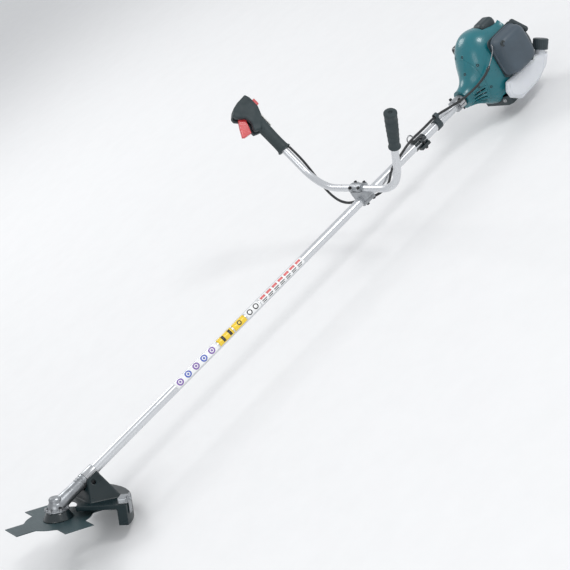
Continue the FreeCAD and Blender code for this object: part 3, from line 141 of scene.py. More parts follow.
def mixed(tree, factor, first, second):
    """Blend of two colours, each a tuple or another node's output."""
    node = tree.nodes.new("ShaderNodeMix")
    node.data_type = "RGBA"
    tree.links.new(factor, node.inputs["Factor"])
    for name, colour in (("A", first), ("B", second)):
        socket = next(s for s in node.inputs if s.name == name and s.type == "RGBA")
        if isinstance(colour, tuple):
            socket.default_value = (*colour, 1)
        else:
            tree.links.new(colour, socket)
    return next(s for s in node.outputs if s.type == "RGBA")


def edge_wear(tree):
    """1 on convex edges, 0 elsewhere."""
    geometry = tree.nodes.new("ShaderNodeNewGeometry")
    return spread(tree, geometry.outputs["Pointiness"], 0, 1, 0.53, 0.6)


def bump(tree, shader, height, depth, strength=0.5):
    node = tree.nodes.new("ShaderNodeBump")
    node.inputs["Strength"].default_value = strength
    node.inputs["Distance"].default_value = depth
    tree.links.new(height, node.inputs["Height"])
    tree.links.new(node.outputs["Normal"], shader.inputs["Normal"])


def surface(name, colour, rough, metallic=0.0, grain=900, depth=0.00008, tone=0.12, stretch=(1, 1, 1),
            blotch=14, worn=None, coat=0.0):
    """A finish with blotchy tone, uneven roughness, a fine grain and, where given, worn edges."""
    material, tree, shader = new_material(name)
    plain = coordinates(tree)
    grained = coordinates(tree, stretch)
    tones = noise(tree, plain, blotch)
    dark = tuple(c * (1 - tone) for c in colour)
    light = tuple(min(1, c * (1 + tone)) for c in colour)
    result = mixed(tree, spread(tree, tones, 0, 1), dark, light)
    if worn is not None:
        result = mixed(tree, edge_wear(tree), result, worn)
    tree.links.new(result, shader.inputs["Base Color"])
    fine = noise(tree, grained, grain, detail=3)
    uneven = noise(tree, plain, blotch * 3)
    tree.links.new(spread(tree, uneven, rough * 0.85, min(1, rough * 1.2)), shader.inputs["Roughness"])
    shader.inputs["Metallic"].default_value = metallic
    if coat:
        shader.inputs["Coat Weight"].default_value = coat
        shader.inputs["Coat Roughness"].default_value = 0.12
    bump(tree, shader, fine, depth)
    return material


TEAL = surface("teal_plastic", (0.005, 0.145, 0.175), 0.3, grain=260, depth=0.00006, tone=0.1, coat=0.35)
DARK = surface("dark_plastic", (0.026, 0.04, 0.046), 0.46, grain=1400, depth=0.00012, tone=0.18,
               worn=(0.045, 0.062, 0.07))
SLATE = surface("slate_plastic", (0.055, 0.078, 0.1), 0.42, grain=1300, depth=0.00012, tone=0.14,
                worn=(0.08, 0.105, 0.13))
GRIP = surface("grip_rubber", (0.024, 0.038, 0.042), 0.62, grain=1500, depth=0.0002, tone=0.16)
TANK = surface("tank_plastic", (0.66, 0.68, 0.71), 0.36, grain=500, depth=0.00006, tone=0.045, blotch=9)
TANK.node_tree.nodes["Principled BSDF"].inputs["Subsurface Weight"].default_value = 0.35
TANK.node_tree.nodes["Principled BSDF"].inputs["Subsurface Radius"].default_value = (0.006, 0.006, 0.007)
CAST = surface("cast_alloy", (0.33, 0.345, 0.36), 0.34, metallic=0.85, grain=420, depth=0.0003, tone=0.22,
               blotch=40, worn=(0.5, 0.51, 0.52))
SATIN = surface("satin_tube", (0.66, 0.675, 0.695), 0.27, metallic=0.75, grain=900, depth=0.00002, tone=0.03,
                stretch=(0.02, 1, 1), blotch=6)
STEEL = surface("turned_steel", (0.4, 0.405, 0.415), 0.28, metallic=1.0, grain=1100, depth=0.00004, tone=0.1,
                blotch=60)
BOLT = surface("black_bolt", (0.02, 0.022, 0.024), 0.35, metallic=0.4, grain=900, depth=0.00005, tone=0.2)
BLACK = surface("black_paint", (0.01, 0.018, 0.021), 0.28, grain=700, depth=0.0001, tone=0.2, coat=0.3)
GLOSS = surface("glossy_plastic", (0.005, 0.015, 0.018), 0.3, grain=500, depth=0.0001, tone=0.2)
GLOSS.node_tree.nodes["Principled BSDF"].inputs["Specular IOR Level"].default_value = 0.3
RED = surface("red_plastic", (0.62, 0.028, 0.035), 0.32, grain=900, depth=0.00006, tone=0.12, coat=0.25)
CABLE = surface("cable_sleeve", (0.018, 0.02, 0.022), 0.45, grain=1200, depth=0.0001, tone=0.2)
IRON = surface("cast_iron", (0.16, 0.16, 0.165), 0.55, metallic=0.7, grain=500, depth=0.0003, tone=0.25)
FELT = surface("filter_felt", (0.5, 0.46, 0.33), 0.9, grain=1800, depth=0.0006, tone=0.2)
CERAMIC = surface("ceramic", (0.78, 0.78, 0.75), 0.18, grain=300, depth=0.00002, tone=0.04)
CLEAR = surface("primer_rubber", (0.6, 0.64, 0.63), 0.24, grain=400, depth=0.00003, tone=0.05)
BUSH = surface("bush_plastic", (0.09, 0.09, 0.095), 0.5, grain=900, depth=0.0001, tone=0.15)


def blade_paint():
    """Dark blue-green lacquer with fine grinding lines and faint scratches."""
    material, tree, shader = new_material("blade_paint")
    plain = coordinates(tree)
    lines = noise(tree, coordinates(tree, (1, 0.03, 1)), 1800, detail=2)
    scratches = noise(tree, coordinates(tree, (0.1, 1, 1)), 260, detail=6, rough=0.7)
    tones = spread(tree, noise(tree, plain, 16), 0, 1)
    base = mixed(tree, tones, (0.022, 0.046, 0.052), (0.034, 0.066, 0.074))
    scuffed = mixed(tree, spread(tree, scratches, 0, 0.6, 0.68, 0.78), base, (0.2, 0.24, 0.25))
    tree.links.new(scuffed, shader.inputs["Base Color"])
    tree.links.new(spread(tree, lines, 0.28, 0.42), shader.inputs["Roughness"])
    shader.inputs["Metallic"].default_value = 0.1
    bump(tree, shader, lines, 0.00003, 0.4)
    return material


BLADE = blade_paint()


def label_paint(name, colour):
    return surface(name, colour, 0.35, grain=600, depth=0.00003, tone=0.05, coat=0.2)


SLOT_FINISH = {
    "teal_cover": TEAL, "dark_plastic": DARK, "slate_plastic": SLATE, "tank_plastic": TANK,
    "cast_alloy": CAST, "tube_alloy": SATIN, "steel": STEEL, "blade_steel": BLADE, "black_steel": BOLT,
    "rubber": GRIP, "red_plastic": RED, "cable_cover": CABLE, "iron": IRON, "filter_felt": FELT,
    "ceramic": CERAMIC, "primer_clear": CLEAR, "bush_plastic": BUSH,
}
NODE_FINISH = {
    "cone_cover": BLACK, "muffler": BLACK, "hanger_band": BLACK, "blade_guard": GLOSS, "plain_grip": GRIP,
    "throttle_shell_left": GRIP, "throttle_shell_right": GRIP, "lock_lever": CERAMIC, "line_cutter": CAST,
}

# ---------------------------------------------------------------- CAD nodes: finish and soft edges


def weld(obj):
    obj.modifiers.new("weld", "WELD").merge_threshold = WELD_DISTANCE


def soften(obj):
    """Welds the facets and gives the sharp edges a small moulded or machined radius."""
    weld(obj)
    edges = obj.modifiers.new("edges", "BEVEL")
    edges.width = 0.6 * MM
    edges.segments = 2
    edges.limit_method = "ANGLE"
    edges.angle_limit = math.radians(38)
    edges.harden_normals = False
    edges.use_clamp_overlap = True


SHARP = {
    "ball_bearings", "shaft_bushes", "drive_shaft", "handlebar", "main_tube", "socket_bolts", "clamp_bolts",
    "hanger_ring", "throttle_cable", "bevel_gear", "bevel_pinion", "cutting_blade", "piston_set",
}


def dress_nodes():
    for entry in frame["record"]["subparts"]:
        node = entry["node"]
        finish = NODE_FINISH.get(node, SLOT_FINISH[entry["material_slot"]])
        obj = nodes[node]
        obj.data.materials.clear()
        obj.data.materials.append(finish)
        if node not in SHARP:
            soften(obj)


# ---------------------------------------------------------------- building tools for new pieces


def mesh_piece(name, verts, faces, material):
    mesh = bpy.data.meshes.new(name)
    mesh.from_pydata([tuple(v) for v in verts], [], faces)
    mesh.validate()
    obj = bpy.data.objects.new(name, mesh)
    scene.collection.objects.link(obj)
    made = bmesh.new()
    made.from_mesh(mesh)
    bmesh.ops.recalc_face_normals(made, faces=made.faces)
    made.to_mesh(mesh)
    made.free()
    mesh.materials.append(material)
    mesh.shade_smooth()
    return obj


def belongs(obj, body, slot, *replaced):
    """The piece rides on a body and hides the CAD nodes that it replaces; the slot argument is not used."""
    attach(obj, body)
    if replaced:
        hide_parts(*replaced)
    return obj


def loft_rings(name, rings, material, close_start=True):
    """Skin through rings of equally many points, with a fan-filled end and, unless told not to, start."""
    count = len(rings[0])
    verts = [point for ring in rings for point in ring]
    faces = []
    for row in range(len(rings) - 1):
        for column in range(count):
            following = (column + 1) % count
            faces.append((row * count + column, row * count + following,
                          (row + 1) * count + following, (row + 1) * count + column))
    for row in [0] * close_start + [len(rings) - 1]:
        verts.append(sum(rings[row], Vector()) / count)
        tip = len(verts) - 1
        faces += [(row * count + c, row * count + (c + 1) % count, tip) for c in range(count)]
    return mesh_piece(name, verts, faces, material)


def frame_at(point, direction):
    """Matrix with +Z along a direction at a point."""
    forward = Vector(direction).normalized()
    right = forward.cross(Vector((0, 0, 1)))
    if right.length < 1e-4:
        right = forward.cross(Vector((1, 0, 0)))
    right.normalize()
    axes = Matrix((right, forward.cross(right), forward)).transposed()
    return Matrix.Translation(point) @ axes.to_4x4()


def lathe(name, profile, matrix, material, segments=40):
    """Turned piece from (radius, height) points in millimetres, about the matrix's +Z."""
    turns = [2 * math.pi * k / segments for k in range(segments)]
    rings = [[matrix @ (Vector((radius * math.cos(a), radius * math.sin(a), height)) * MM) for a in turns]
             for radius, height in profile]
    return loft_rings(name, rings, material)


def hexagon_piece(name, across, height, matrix, material):
    """Hexagon head with chamfered rims, a lathe piece of six flat sides."""
    radius = across / math.sqrt(3)
    profile = [(radius - 0.5, 0), (radius, 0.5), (radius, height - 0.6), (radius - 0.6, height)]
    obj = lathe(name, profile, matrix, material, segments=6)
    obj.data.shade_flat()
    return obj


def spline_points(points, samples):
    """Evenly spaced points along the smooth NURBS line that the given points control."""
    curve = bpy.data.curves.new("route", "CURVE")
    curve.dimensions = "3D"
    spline = curve.splines.new("NURBS")
    spline.points.add(len(points) - 1)
    for target, point in zip(spline.points, points):
        target.co = (*point, 1)
    spline.order_u = 3
    spline.use_endpoint_u = True
    spline.resolution_u = 24
    carrier = bpy.data.objects.new("route", curve)
    mesh = bpy.data.meshes.new_from_object(carrier)
    line = [v.co.copy() for v in mesh.vertices]
    bpy.data.objects.remove(carrier)
    bpy.data.curves.remove(curve)
    bpy.data.meshes.remove(mesh)
    lengths = [0.0]
    for a, b in zip(line, line[1:]):
        lengths.append(lengths[-1] + (b - a).length)
    result = []
    index = 0
    for step in range(samples):
        along = lengths[-1] * step / (samples - 1)
        while index < len(lengths) - 2 and lengths[index + 1] < along:
            index += 1
        part = (along - lengths[index]) / max(lengths[index + 1] - lengths[index], 1e-9)
        result.append(line[index].lerp(line[index + 1], min(1, part)))
    return result


def tube_mesh(name, line, radius_at, material, segments=14):
    """Tube along a line, whose radius is a function of the sample's index."""
    rings = []
    normal = Vector((0, 0, 1))
    for index, point in enumerate(line):
        ahead = line[min(index + 1, len(line) - 1)]
        behind = line[max(index - 1, 0)]
        tangent = (ahead - behind).normalized()
        normal = (normal - tangent * normal.dot(tangent)).normalized()
        side = tangent.cross(normal)
        radius = radius_at(index)
        rings.append([point + (normal * math.cos(a) + side * math.sin(a)) * radius
                      for a in (2 * math.pi * k / segments for k in range(segments))])
    return loft_rings(name, rings, material)


def smooth_copy(node, name, voxel, material, rounds):
    """Closed, evenly rounded skin of a moulded CAD solid."""
    obj = bpy.data.objects.new(name, nodes[node].data.copy())
    scene.collection.objects.link(obj)
    weld(obj)
    remesh = obj.modifiers.new("skin", "REMESH")
    remesh.mode = "VOXEL"
    remesh.voxel_size = voxel
    remesh.use_smooth_shade = True
    relax = obj.modifiers.new("relax", "SMOOTH")
    relax.factor = 0.5
    relax.iterations = rounds
    graph = bpy.context.evaluated_depsgraph_get()
    mesh = bpy.data.meshes.new_from_object(obj.evaluated_get(graph))
    obj.modifiers.clear()
    obj.data = mesh
    mesh.materials.clear()
    mesh.materials.append(material)
    mesh.shade_smooth()
    return obj


# ---------------------------------------------------------------- engine pieces


def squircle(half_x, half_z, power, count=72):
    """Outline points (x, z) of a rounded rectangle."""
    points = []
    for step in range(count):
        angle = 2 * math.pi * step / count
        c, s = math.cos(angle), math.sin(angle)
        points.append((half_x * math.copysign(abs(c) ** (2 / power), c),
                       half_z * math.copysign(abs(s) ** (2 / power), s)))
    return points


def air_cleaner():
    """Crowned cover with a sealing lip, a stepped face and a clamping screw."""
    low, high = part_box("air_cleaner_cover")
    half_x, half_z = (high.x - low.x) / 2, (high.z - low.z) / 2
    centre = (low + high) / 2
    depth = high.y - low.y
    steps = [  # share of the depth, inset in mm
        (0.0, 1.2), (0.02, 0.2), (0.08, 0.0), (0.13, 0.3), (0.15, 2.2), (0.2, 2.6), (0.6, 4.5), (0.78, 7.0),
        (0.9, 11.5), (0.97, 17.5), (0.99, 24.0), (1.0, 34.0), (1.01, 44.0),
    ]
    rings = []
    for share, inset in steps:
        outline = squircle(half_x - inset * MM, half_z - inset * MM, 4.6)
        rings.append([Vector((centre.x + x, low.y + share * depth, centre.z + z)) for x, z in outline])
    cover = loft_rings("air_cleaner_shell", rings, SLATE, close_start=False)
    belongs(cover, "frame", "slate_plastic", "air_cleaner_cover")
    face = high.y + 0.2 * MM
    knob_at = Vector((high.x - 17 * MM, face - 5.6 * MM, high.z - 17 * MM))
    knob = lathe("air_cleaner_screw", [(8.5, -1), (8.5, 1.4), (7.6, 2.0), (5.2, 2.0), (5.0, 0.6), (1.2, 0.5)],
                 frame_at(knob_at, (0, 1, 0)), BLACK)
    belongs(knob, "frame", "dark_plastic")
    for name, x, z in (("cover_notch_rear", low.x + 13 * MM, low.z + 42 * MM),
                       ("cover_notch_low", low.x + 34 * MM, low.z + 12 * MM)):
        clip = lathe(name, [(5.5, -3), (5.5, 0.8), (4.6, 1.2), (2.0, 1.1), (1.9, 0.2)],
                     frame_at(Vector((x, face - 6.5 * MM, z)), (0, 1, 0)), DARK, 24)
        belongs(clip, "frame", "dark_plastic")


def moulded_skins():
    """Even, rounded skins for the thick moulded pieces."""
    for node, name, voxel, material, slot, rounds in (
        ("fuel_tank", "tank_skin", 1.6 * MM, TANK, "tank_plastic", 14),
        ("plug_cap", "plug_cap_skin", 1.0 * MM, DARK, "dark_plastic", 10),
        ("engine_foot", "foot_skin", 0.9 * MM, DARK, "dark_plastic", 4),
        ("starter_handle", "starter_handle_skin", 0.7 * MM, DARK, "dark_plastic", 8),
        ("throttle_trigger", "trigger_skin", 0.5 * MM, RED, "red_plastic", 5),
        ("clamp_block", "clamp_block_skin", 0.7 * MM, CAST, "cast_alloy", 4),
        ("clamp_cap", "clamp_cap_skin", 0.6 * MM, CAST, "cast_alloy", 4),
        ("clamp_strap", "clamp_strap_skin", 0.6 * MM, CAST, "cast_alloy", 4),
        ("throttle_shell_left", "shell_left_skin", 1.0 * MM, GRIP, "dark_plastic", 26),
        ("throttle_shell_right", "shell_right_skin", 1.0 * MM, GRIP, "dark_plastic", 26),
        ("blade_guard", "guard_skin", 1.2 * MM, GLOSS, "dark_plastic", 3),
        ("line_cutter", "line_cutter_skin", 0.7 * MM, CAST, "steel", 3),
        ("gear_case", "gear_case_skin", 0.7 * MM, CAST, "cast_alloy", 4),
    ):
        bodies = frame["record"]["behaviour"]["bodies"]
        body = next(b for b, members in bodies.items() if node in members)
        belongs(smooth_copy(node, name, voxel, material, rounds), body, slot, node)


def surface_hit(node, start, direction):
    """Where a line from outside meets the node: the point and its outward normal."""
    hit, place, normal, _ = nodes[node].ray_cast(start, Vector(direction).normalized())
    assert hit, f"no surface of {node} there"
    return place, normal


def cover_screws():
    """Recessed screws on the front of the engine cover and clutch housing."""
    for index, (node, y, z) in enumerate((
        ("engine_cover", 6, 94), ("engine_cover", 47, 62), ("engine_cover", -30, 90),
        ("clutch_housing", 8, 52), ("clutch_housing", 38, 8), ("engine_cover", 52, -12),
    )):
        place, normal = surface_hit(node, on_engine(60, y, z), (-1, 0, 0))
        matrix = frame_at(place - normal * 0.4 * MM, normal)
        recess = lathe(f"cover_recess_{index}", [(6.4, -2), (6.4, 0.6), (5.8, 0.8), (4.6, 0.1), (4.4, -1.0)],
                       matrix, TEAL, 28)
        belongs(recess, "frame", "teal_cover")
        screw = lathe(f"cover_screw_{index}", [(4.5, -2), (4.5, 0.1), (3.8, 0.5), (1.9, 0.55), (1.8, 0.1)],
                      matrix, BOLT, 20)
        belongs(screw, "frame", "black_steel")


def cooling_ribs():
    """Raised fins between the cooling slots of the clutch housing."""
    for index in range(11):
        angle = math.radians(181 + 18 * index)
        outward = Vector((0, math.cos(angle), math.sin(angle)))
        sideways = Vector((0, -math.sin(angle), math.cos(angle)))
        crest = []
        for step in range(13):
            start = on_engine(-8 - 4.4 * step, 0, 0) + outward * 150 * MM
            hit, place, _, _ = nodes["clutch_housing"].ray_cast(start, -outward)
            if hit and (place - start).length < 0.13:
                crest.append((place, 2.6 * MM * math.sin(math.pi * (step + 1) / 14) ** 0.5))
        if len(crest) < 4:
            continue
        rings = []
        for place, height in crest:
            sunk, shoulder = -2 * MM, height * 0.7
            section = ((-1.5, sunk), (-1.2, shoulder), (0, height), (1.2, shoulder), (1.5, sunk))
            rings.append([place + sideways * u * MM + outward * w for u, w in section])
        belongs(loft_rings(f"cooling_rib_{index}", rings, TEAL), "frame", "teal_cover")


def foot_bolts():
    """Bolts through the front of the engine foot."""
    low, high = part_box("engine_foot")
    for index, y in enumerate((-40, 0, 40)):
        at = Vector((high.x - 0.4 * MM, y * MM, (low.z + high.z) / 2 + 3 * MM))
        washer = lathe(f"foot_washer_{index}", [(6.5, -0.6), (6.5, 0.8), (6.0, 1.2), (2, 1.2)],
                       frame_at(at, (1, 0, 0)), STEEL, 28)
        belongs(washer, "frame", "steel")
        head_at = frame_at(at + Vector((1.1 * MM, 0, 0)), (1, 0, 0))
        belongs(hexagon_piece(f"foot_bolt_{index}", 8, 3.4, head_at, STEEL), "frame", "steel")


def ignition_lead():
    """Rubber lead from the plug cap back into the cover."""
    low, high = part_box("plug_cap")
    route = [Vector((low.x + 4 * MM, (low.y + high.y) / 2, low.z + 16 * MM)),
             Vector((low.x - 9 * MM, (low.y + high.y) / 2 - 4 * MM, low.z + 15 * MM)),
             Vector((low.x - 17 * MM, (low.y + high.y) / 2 - 12 * MM, low.z + 6 * MM)),
             Vector((low.x - 19 * MM, (low.y + high.y) / 2 - 20 * MM, low.z - 12 * MM))]
    line = spline_points(route, 30)
    belongs(tube_mesh("ignition_lead", line, lambda i: 3.2 * MM, CABLE), "frame", "cable_cover")


def fuel_line():
    """Clear hose from the tank's shoulder to the primer."""
    route = [on_engine(-222, 80, -30), on_engine(-222, 88, -24), on_engine(-216, 96, -24),
             on_engine(-208, 92, -22), on_engine(-206, 80, -18), on_engine(-206, 66, -6),
             on_engine(-206, 58, 12)]
    line = spline_points(route, 40)
    belongs(tube_mesh("fuel_line", line, lambda i: 2.4 * MM, CLEAR), "frame", "primer_clear")


def tank_seam():
    """Welded seam that runs round the left face of the tank."""
    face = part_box("fuel_tank")[1].y
    outline = [(-106, -30), (-98, -48), (-101, -66), (-126, -84), (-196, -84), (-240, -66), (-256, -46)]
    route = [on_engine(x, 0, z) for x, z in outline]
    for point in route:
        point.y = face - 0.6 * MM
    line = spline_points(route, 60)
    belongs(tube_mesh("tank_seam", line, lambda i: 1.3 * MM, TANK, 10), "frame", "tank_plastic")


def starter_rope():
    """Cord from the housing towards the pull handle."""
    pull = Vector((0, 0.6, 0.8))
    stem = on_engine(-258, 42, 52) + pull * 2 * MM
    start = stem - pull * 26 * MM
    line = [start.lerp(stem, k / 40) for k in range(41)]
    rope = tube_mesh("starter_rope", line, lambda i: (2.0 + 0.12 * (i % 2)) * MM, CLEAR, 12)
    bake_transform(rope)


# ---------------------------------------------------------------- throttle cable

CABLE_ROUTE = [
    (-1050, -247, 160), (-1051, -230, 124), (-1052, -222, 84), (-1051, -214, 42), (-1050, -206, 2),
    (-1050, -184, -32), (-1051, -146, -44), (-1053, -102, -38), (-1062, -56, -34), (-1080, -12, -31),
    (-1103, 20, -14), (-1128, 24, 14), (-1180, 16, 20), (-1234, 13, 29), (-1290, 14, 27),
    (-1345, 15, 29), (-1395, 20, 19), (-1440, 34, 14), (-1487, 56, 22), (-1528, 80, 42), (-1561, 86, 74),
]


def throttle_cable():
    """Corrugated sleeve over the cable, its end ferrule, and the bare wire to the carburettor."""
    route = [on_tube(*point) for point in CABLE_ROUTE]
    ripples, samples_per_ripple, covered = 290, 4, 0.952
    line = spline_points(route, ripples * samples_per_ripple + 1)
    bare = int(len(line) * covered)
    sleeve = tube_mesh("cable_sleeve", line[:bare], lambda i: (3.85 if i % 4 < 2 else 3.2) * MM, CABLE, 14)
    belongs(sleeve, "frame", "cable_cover")
    wire = tube_mesh("cable_wire", line[bare - 8:], lambda i: 1.25 * MM, STEEL, 10)
    belongs(wire, "frame", "cable_cover", "throttle_cable")
    direction = (line[bare] - line[bare - 8]).normalized()
    ferrule = lathe("cable_ferrule", [(3.2, -7), (4.4, -6), (4.4, 2), (3.4, 3), (3.0, 8), (1.4, 9)],
                    frame_at(line[bare], direction), BLACK, 28)
    belongs(ferrule, "frame", "cable_cover")
    tail = [line[-1], line[-1] + (line[-1] - line[-9]).normalized() * 12 * MM, on_engine(-124, 78, 96),
            on_engine(-136, 66, 88)]
    hidden = spline_points(tail, 24)
    belongs(tube_mesh("cable_tail", hidden, lambda i: 1.2 * MM, STEEL, 10), "frame", "steel")


# ---------------------------------------------------------------- tube labels

FACING = math.radians(32)


def wrapped(x, angle, lift):
    radius = TUBE_R + lift
    return Vector((x, radius * math.cos(angle), AXIS_Z + radius * math.sin(angle)))


def tube_patch(name, x_start, x_end, turn, half_turn, lift, material):
    """Thin curved label on the tube; x in millimetres from the tube's front end."""
    columns = 2 + int(abs(x_end - x_start) / 6)
    rows = 14
    verts = []
    for level in (lift, lift - 0.12 * MM):
        for i in range(columns):
            x = HEAD_X + (x_start + (x_end - x_start) * i / (columns - 1)) * MM
            for j in range(rows):
                verts.append(wrapped(x, turn - half_turn + 2 * half_turn * j / (rows - 1), level))
    faces = []
    lower = columns * rows
    for i in range(columns - 1):
        for j in range(rows - 1):
            a = i * rows + j
            quad = (a, a + rows, a + rows + 1, a + 1)
            faces.append(quad)
            faces.append(tuple(lower + v for v in reversed(quad)))
    rim = ([(i * rows, (i + 1) * rows) for i in range(columns - 1)]
           + [((i + 1) * rows + rows - 1, i * rows + rows - 1) for i in range(columns - 1)]
           + [(j + 1, j) for j in range(rows - 1)]
           + [((columns - 1) * rows + j, (columns - 1) * rows + j + 1) for j in range(rows - 1)])
    faces += [(b, a, a + lower, b + lower) for a, b in rim]
    return belongs(mesh_piece(name, verts, faces, material), "frame", "tube_alloy")


def tube_disc(name, x_centre, turn, radius, lift, material, inner=0.0):
    """Thin round or ring-shaped mark on the tube."""
    count = 30
    verts, faces = [], []
    inner_radius = max(inner, 0.02)
    for level in (lift, lift - 0.1 * MM):
        for size in (inner_radius, (inner_radius + radius) / 2, radius):
            for k in range(count):
                a = 2 * math.pi * k / count
                x = HEAD_X + (x_centre + size * math.cos(a)) * MM
                verts.append(wrapped(x, turn + size * MM * math.sin(a) / TUBE_R, level))
    lower = 3 * count
    for band in range(2):
        for k in range(count):
            a, b = band * count + k, band * count + (k + 1) % count
            faces.append((a, b, b + count, a + count))
            faces.append((a + lower + count, b + lower + count, b + lower, a + lower))
    for band in (0, 2):
        for k in range(count):
            a, b = band * count + k, band * count + (k + 1) % count
            faces.append((a, b, b + lower, a + lower))
    return belongs(mesh_piece(name, verts, faces, material), "frame", "tube_alloy")


def tube_labels():
    """Plain coloured label fields, with no lettering."""
    white = label_paint("label_white", (0.86, 0.87, 0.87))
    blue = label_paint("label_blue", (0.08, 0.13, 0.5))
    violet = label_paint("label_violet", (0.23, 0.12, 0.42))
    yellow = label_paint("label_yellow", (0.86, 0.6, 0.04))
    black = label_paint("label_black", (0.03, 0.03, 0.03))
    red = label_paint("label_red", (0.72, 0.16, 0.16))
    wide = math.radians(52)
    tube_patch("label_field_a", -438, -284, FACING, wide, 0.12 * MM, white)
    for index in range(5):
        paint = blue if index % 2 else violet
        tube_disc(f"label_ring_{index}", -300 - 29 * index, FACING, 9.6, 0.2 * MM, paint, inner=5.6)
        tube_disc(f"label_dot_{index}", -300 - 29 * index, FACING, 3.0, 0.2 * MM, paint)
    tube_patch("label_yellow_a", -494, -441, FACING, wide, 0.12 * MM, yellow)
    tube_patch("label_yellow_b", -542, -498, FACING, wide, 0.12 * MM, yellow)
    tube_patch("label_bar_a", -488, -480, FACING, math.radians(40), 0.22 * MM, black)
    tube_patch("label_bar_b", -464, -456, FACING, math.radians(40), 0.22 * MM, black)
    tube_disc("label_spot_a", -520, FACING, 6.5, 0.22 * MM, black, inner=3.6)
    tube_patch("label_field_b", -598, -546, FACING, wide, 0.12 * MM, white)
    tube_disc("label_spot_b", -560, FACING, 8, 0.22 * MM, black, inner=5)
    tube_disc("label_spot_c", -583, FACING, 8, 0.22 * MM, black, inner=5)
    tube_patch("label_field_c", -768, -600, FACING, wide, 0.12 * MM, white)
    for index in range(7):
        start = -606 - 23 * index
        for name, long, turn, half_turn, paint in (
            ("red", 17, 20, 16, red), ("line", 17, -16, 5, black), ("low", 14, -36, 5, black),
        ):
            tube_patch(f"label_{name}_{index}", start - long, start, FACING + math.radians(turn),
                       math.radians(half_turn), 0.22 * MM, paint)


# ---------------------------------------------------------------- handles


def plain_grip():
    """Moulded sleeve with a collar below, a swelling palm and a vented end."""
    direction = Matrix.Rotation(-math.radians(4), 3, "Y") @ Vector((0, 0.5, math.sqrt(0.75)))
    direction.normalize()
    points = [v.co for v in nodes["plain_grip"].data.vertices]
    levels = [p.dot(direction) for p in points]
    low, high = min(levels), max(levels)
    centre = middle("plain_grip")
    base = centre + direction * (low - centre.dot(direction))
    length = (high - low) / MM
    profile = [(12.8, 0), (15.4, 0.3), (16.2, 1.5), (16.2, 4.5), (15.2, 6), (13.9, 7), (13.9, 12)]
    for step in range(9):
        share = step / 8
        profile.append((14.0 + 2.4 * math.sin(share * math.pi / 2), 14 + share * (length - 26)))
    profile += [(16.9, length - 9), (17.3, length - 6), (17.0, length - 2), (15.4, length - 0.4),
                (6.0, length), (5.6, length - 0.4), (5.2, length - 4), (1.0, length - 4)]
    skin = lathe("plain_grip_skin", profile, frame_at(base, direction), GRIP, 56)
    belongs(skin, "frame", "rubber", "plain_grip")
    for index in range(5):
        at = base + direction * (26 + 16 * index) * MM
        radius = 14.0 + 2.4 * math.sin((12 + 16 * index) / (length - 26) * math.pi / 2)
        band = [(radius - 0.6, -1.6), (radius + 0.35, -0.9), (radius + 0.45, 0), (radius + 0.5, 0.9),
                (radius - 0.5, 1.6)]
        belongs(lathe(f"grip_band_{index}", band, frame_at(at, direction), GRIP, 56), "frame", "rubber")


# ---------------------------------------------------------------- cutting head


def head_axes():
    """The blade's centre, its axis, and two directions in its plane."""
    head = next(j for j in frame["joints"] if j["name"] == "blade_spin")
    axis = Vector(head["axis"]).normalized()
    across = Vector((0, 1, 0))
    return Vector(head["pos_m"]), axis, across.cross(axis).normalized(), across


def cutter_edges():
    """Ground cutting edges along both sides of the blade's four arms."""
    centre, axis, along, across = head_axes()
    half_arm, tip, inner = 36.4, 122.1, 82.5
    half_thick = 0.92
    pieces = []
    for quarter in range(4):
        turn = Matrix.Rotation(quarter * math.pi / 2, 3, axis)
        u, v = turn @ along, turn @ across
        for side in (-1, 1):
            rings = []
            for r in (inner, (inner + tip) / 2, tip):
                base = centre + u * r * MM
                edge = v * side * half_arm * MM
                inward = v * side * (half_arm - 5) * MM
                rings.append([base + edge - axis * 0.25 * MM, base + edge + axis * 0.25 * MM,
                              base + inward + axis * half_thick * MM, base + inward - axis * half_thick * MM])
            pieces.append(loft_rings("blade_edge", rings, STEEL))
    joined = bmesh.new()
    for piece in pieces:
        joined.from_mesh(piece.data)
        bpy.data.objects.remove(piece)
    mesh = bpy.data.meshes.new("blade_edges")
    joined.to_mesh(mesh)
    joined.free()
    mesh.materials.append(STEEL)
    edges = bpy.data.objects.new("blade_edges", mesh)
    scene.collection.objects.link(edges)
    belongs(edges, "cutter", "steel")


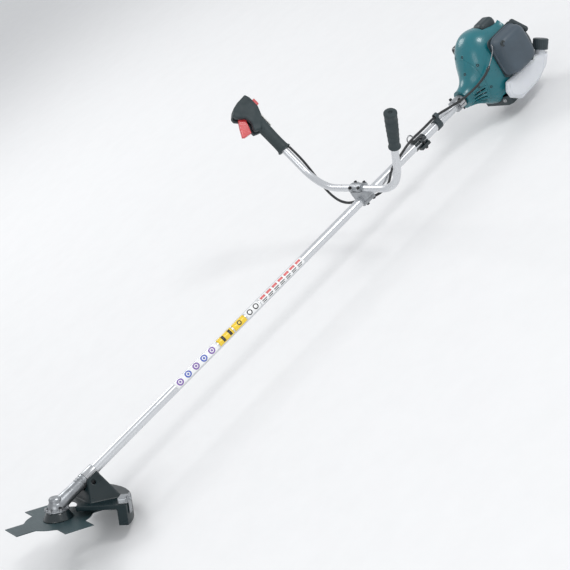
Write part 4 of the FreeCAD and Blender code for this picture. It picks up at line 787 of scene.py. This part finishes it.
def head_bolts():
    """Hexagon bolts round the flange of the gear case."""
    centre, axis, along, across = head_axes()
    for index in range(6):
        angle = math.radians(30 + 60 * index)
        outward = along * math.cos(angle) + across * math.sin(angle)
        place = centre + outward * 25.5 * MM + axis * 25.9 * MM
        washer = lathe(f"flange_washer_{index}", [(4.4, -0.4), (4.4, 0.5), (4.1, 0.8), (2, 0.8)],
                       frame_at(place, axis), STEEL, 24)
        belongs(washer, "frame", "steel")
        head_at = frame_at(place + axis * 0.7 * MM, axis)
        belongs(hexagon_piece(f"flange_bolt_{index}", 6.5, 3.6, head_at, STEEL), "frame", "steel")


# ---------------------------------------------------------------- stage


def stage():
    floor_z = cad_box[0][2] - 0.5 * MM
    half = 30
    floor = mesh_piece("floor", [(-half, -half, floor_z), (half, -half, floor_z), (half, half, floor_z),
                                 (-half, half, floor_z)], [(0, 1, 2, 3)],
                       surface("floor_paint", (0.82, 0.82, 0.82), 0.75, grain=40, depth=0.0001, tone=0.01))
    world = bpy.data.worlds.new("studio")
    scene.world = world
    world.use_nodes = True
    world.node_tree.nodes["Background"].inputs["Color"].default_value = (0.95, 0.97, 1.0, 1)
    world.node_tree.nodes["Background"].inputs["Strength"].default_value = 0.72
    target = Vector((0.9, 0, 0.2))
    for name, place, power, width in (
        ("key", Vector((-1.2, 3.2, 4.0)), 85, 1.4), ("fill", Vector((4.2, 2.6, 2.2)), 35, 2.4),
        ("back", Vector((0.6, -3.6, 3.4)), 60, 2.0),
    ):
        light = bpy.data.lights.new(name, "AREA")
        light.energy = power
        light.size = width
        lamp = bpy.data.objects.new(name, light)
        lamp.location = place
        lamp.rotation_euler = (target - place).to_track_quat("-Z", "Y").to_euler()
        scene.collection.objects.link(lamp)


def camera():
    """Long lens, up and to the operator's left front, rolled so that the tube runs across the picture."""
    right = Vector((-0.6557, 0.5361, -0.5316)).normalized()
    forward = Vector((-0.3644, -0.8414, -0.3991)).normalized()
    up = right.cross(forward).normalized()
    data = bpy.data.cameras.new("camera")
    data.sensor_width = 36
    data.lens = 88.42
    data.clip_end = 100
    obj = bpy.data.objects.new("camera", data)
    place = on_tube(639.9, 3067.4, 1439.6)
    obj.matrix_world = Matrix.Translation(place) @ Matrix((right, up, -forward)).transposed().to_4x4()
    scene.collection.objects.link(obj)
    scene.camera = obj


camera()
stage()
dress_nodes()
moulded_skins()
air_cleaner()
cover_screws()
cooling_ribs()
foot_bolts()
ignition_lead()
fuel_line()
tank_seam()
starter_rope()
throttle_cable()
tube_labels()
plain_grip()
cutter_edges()
head_bolts()
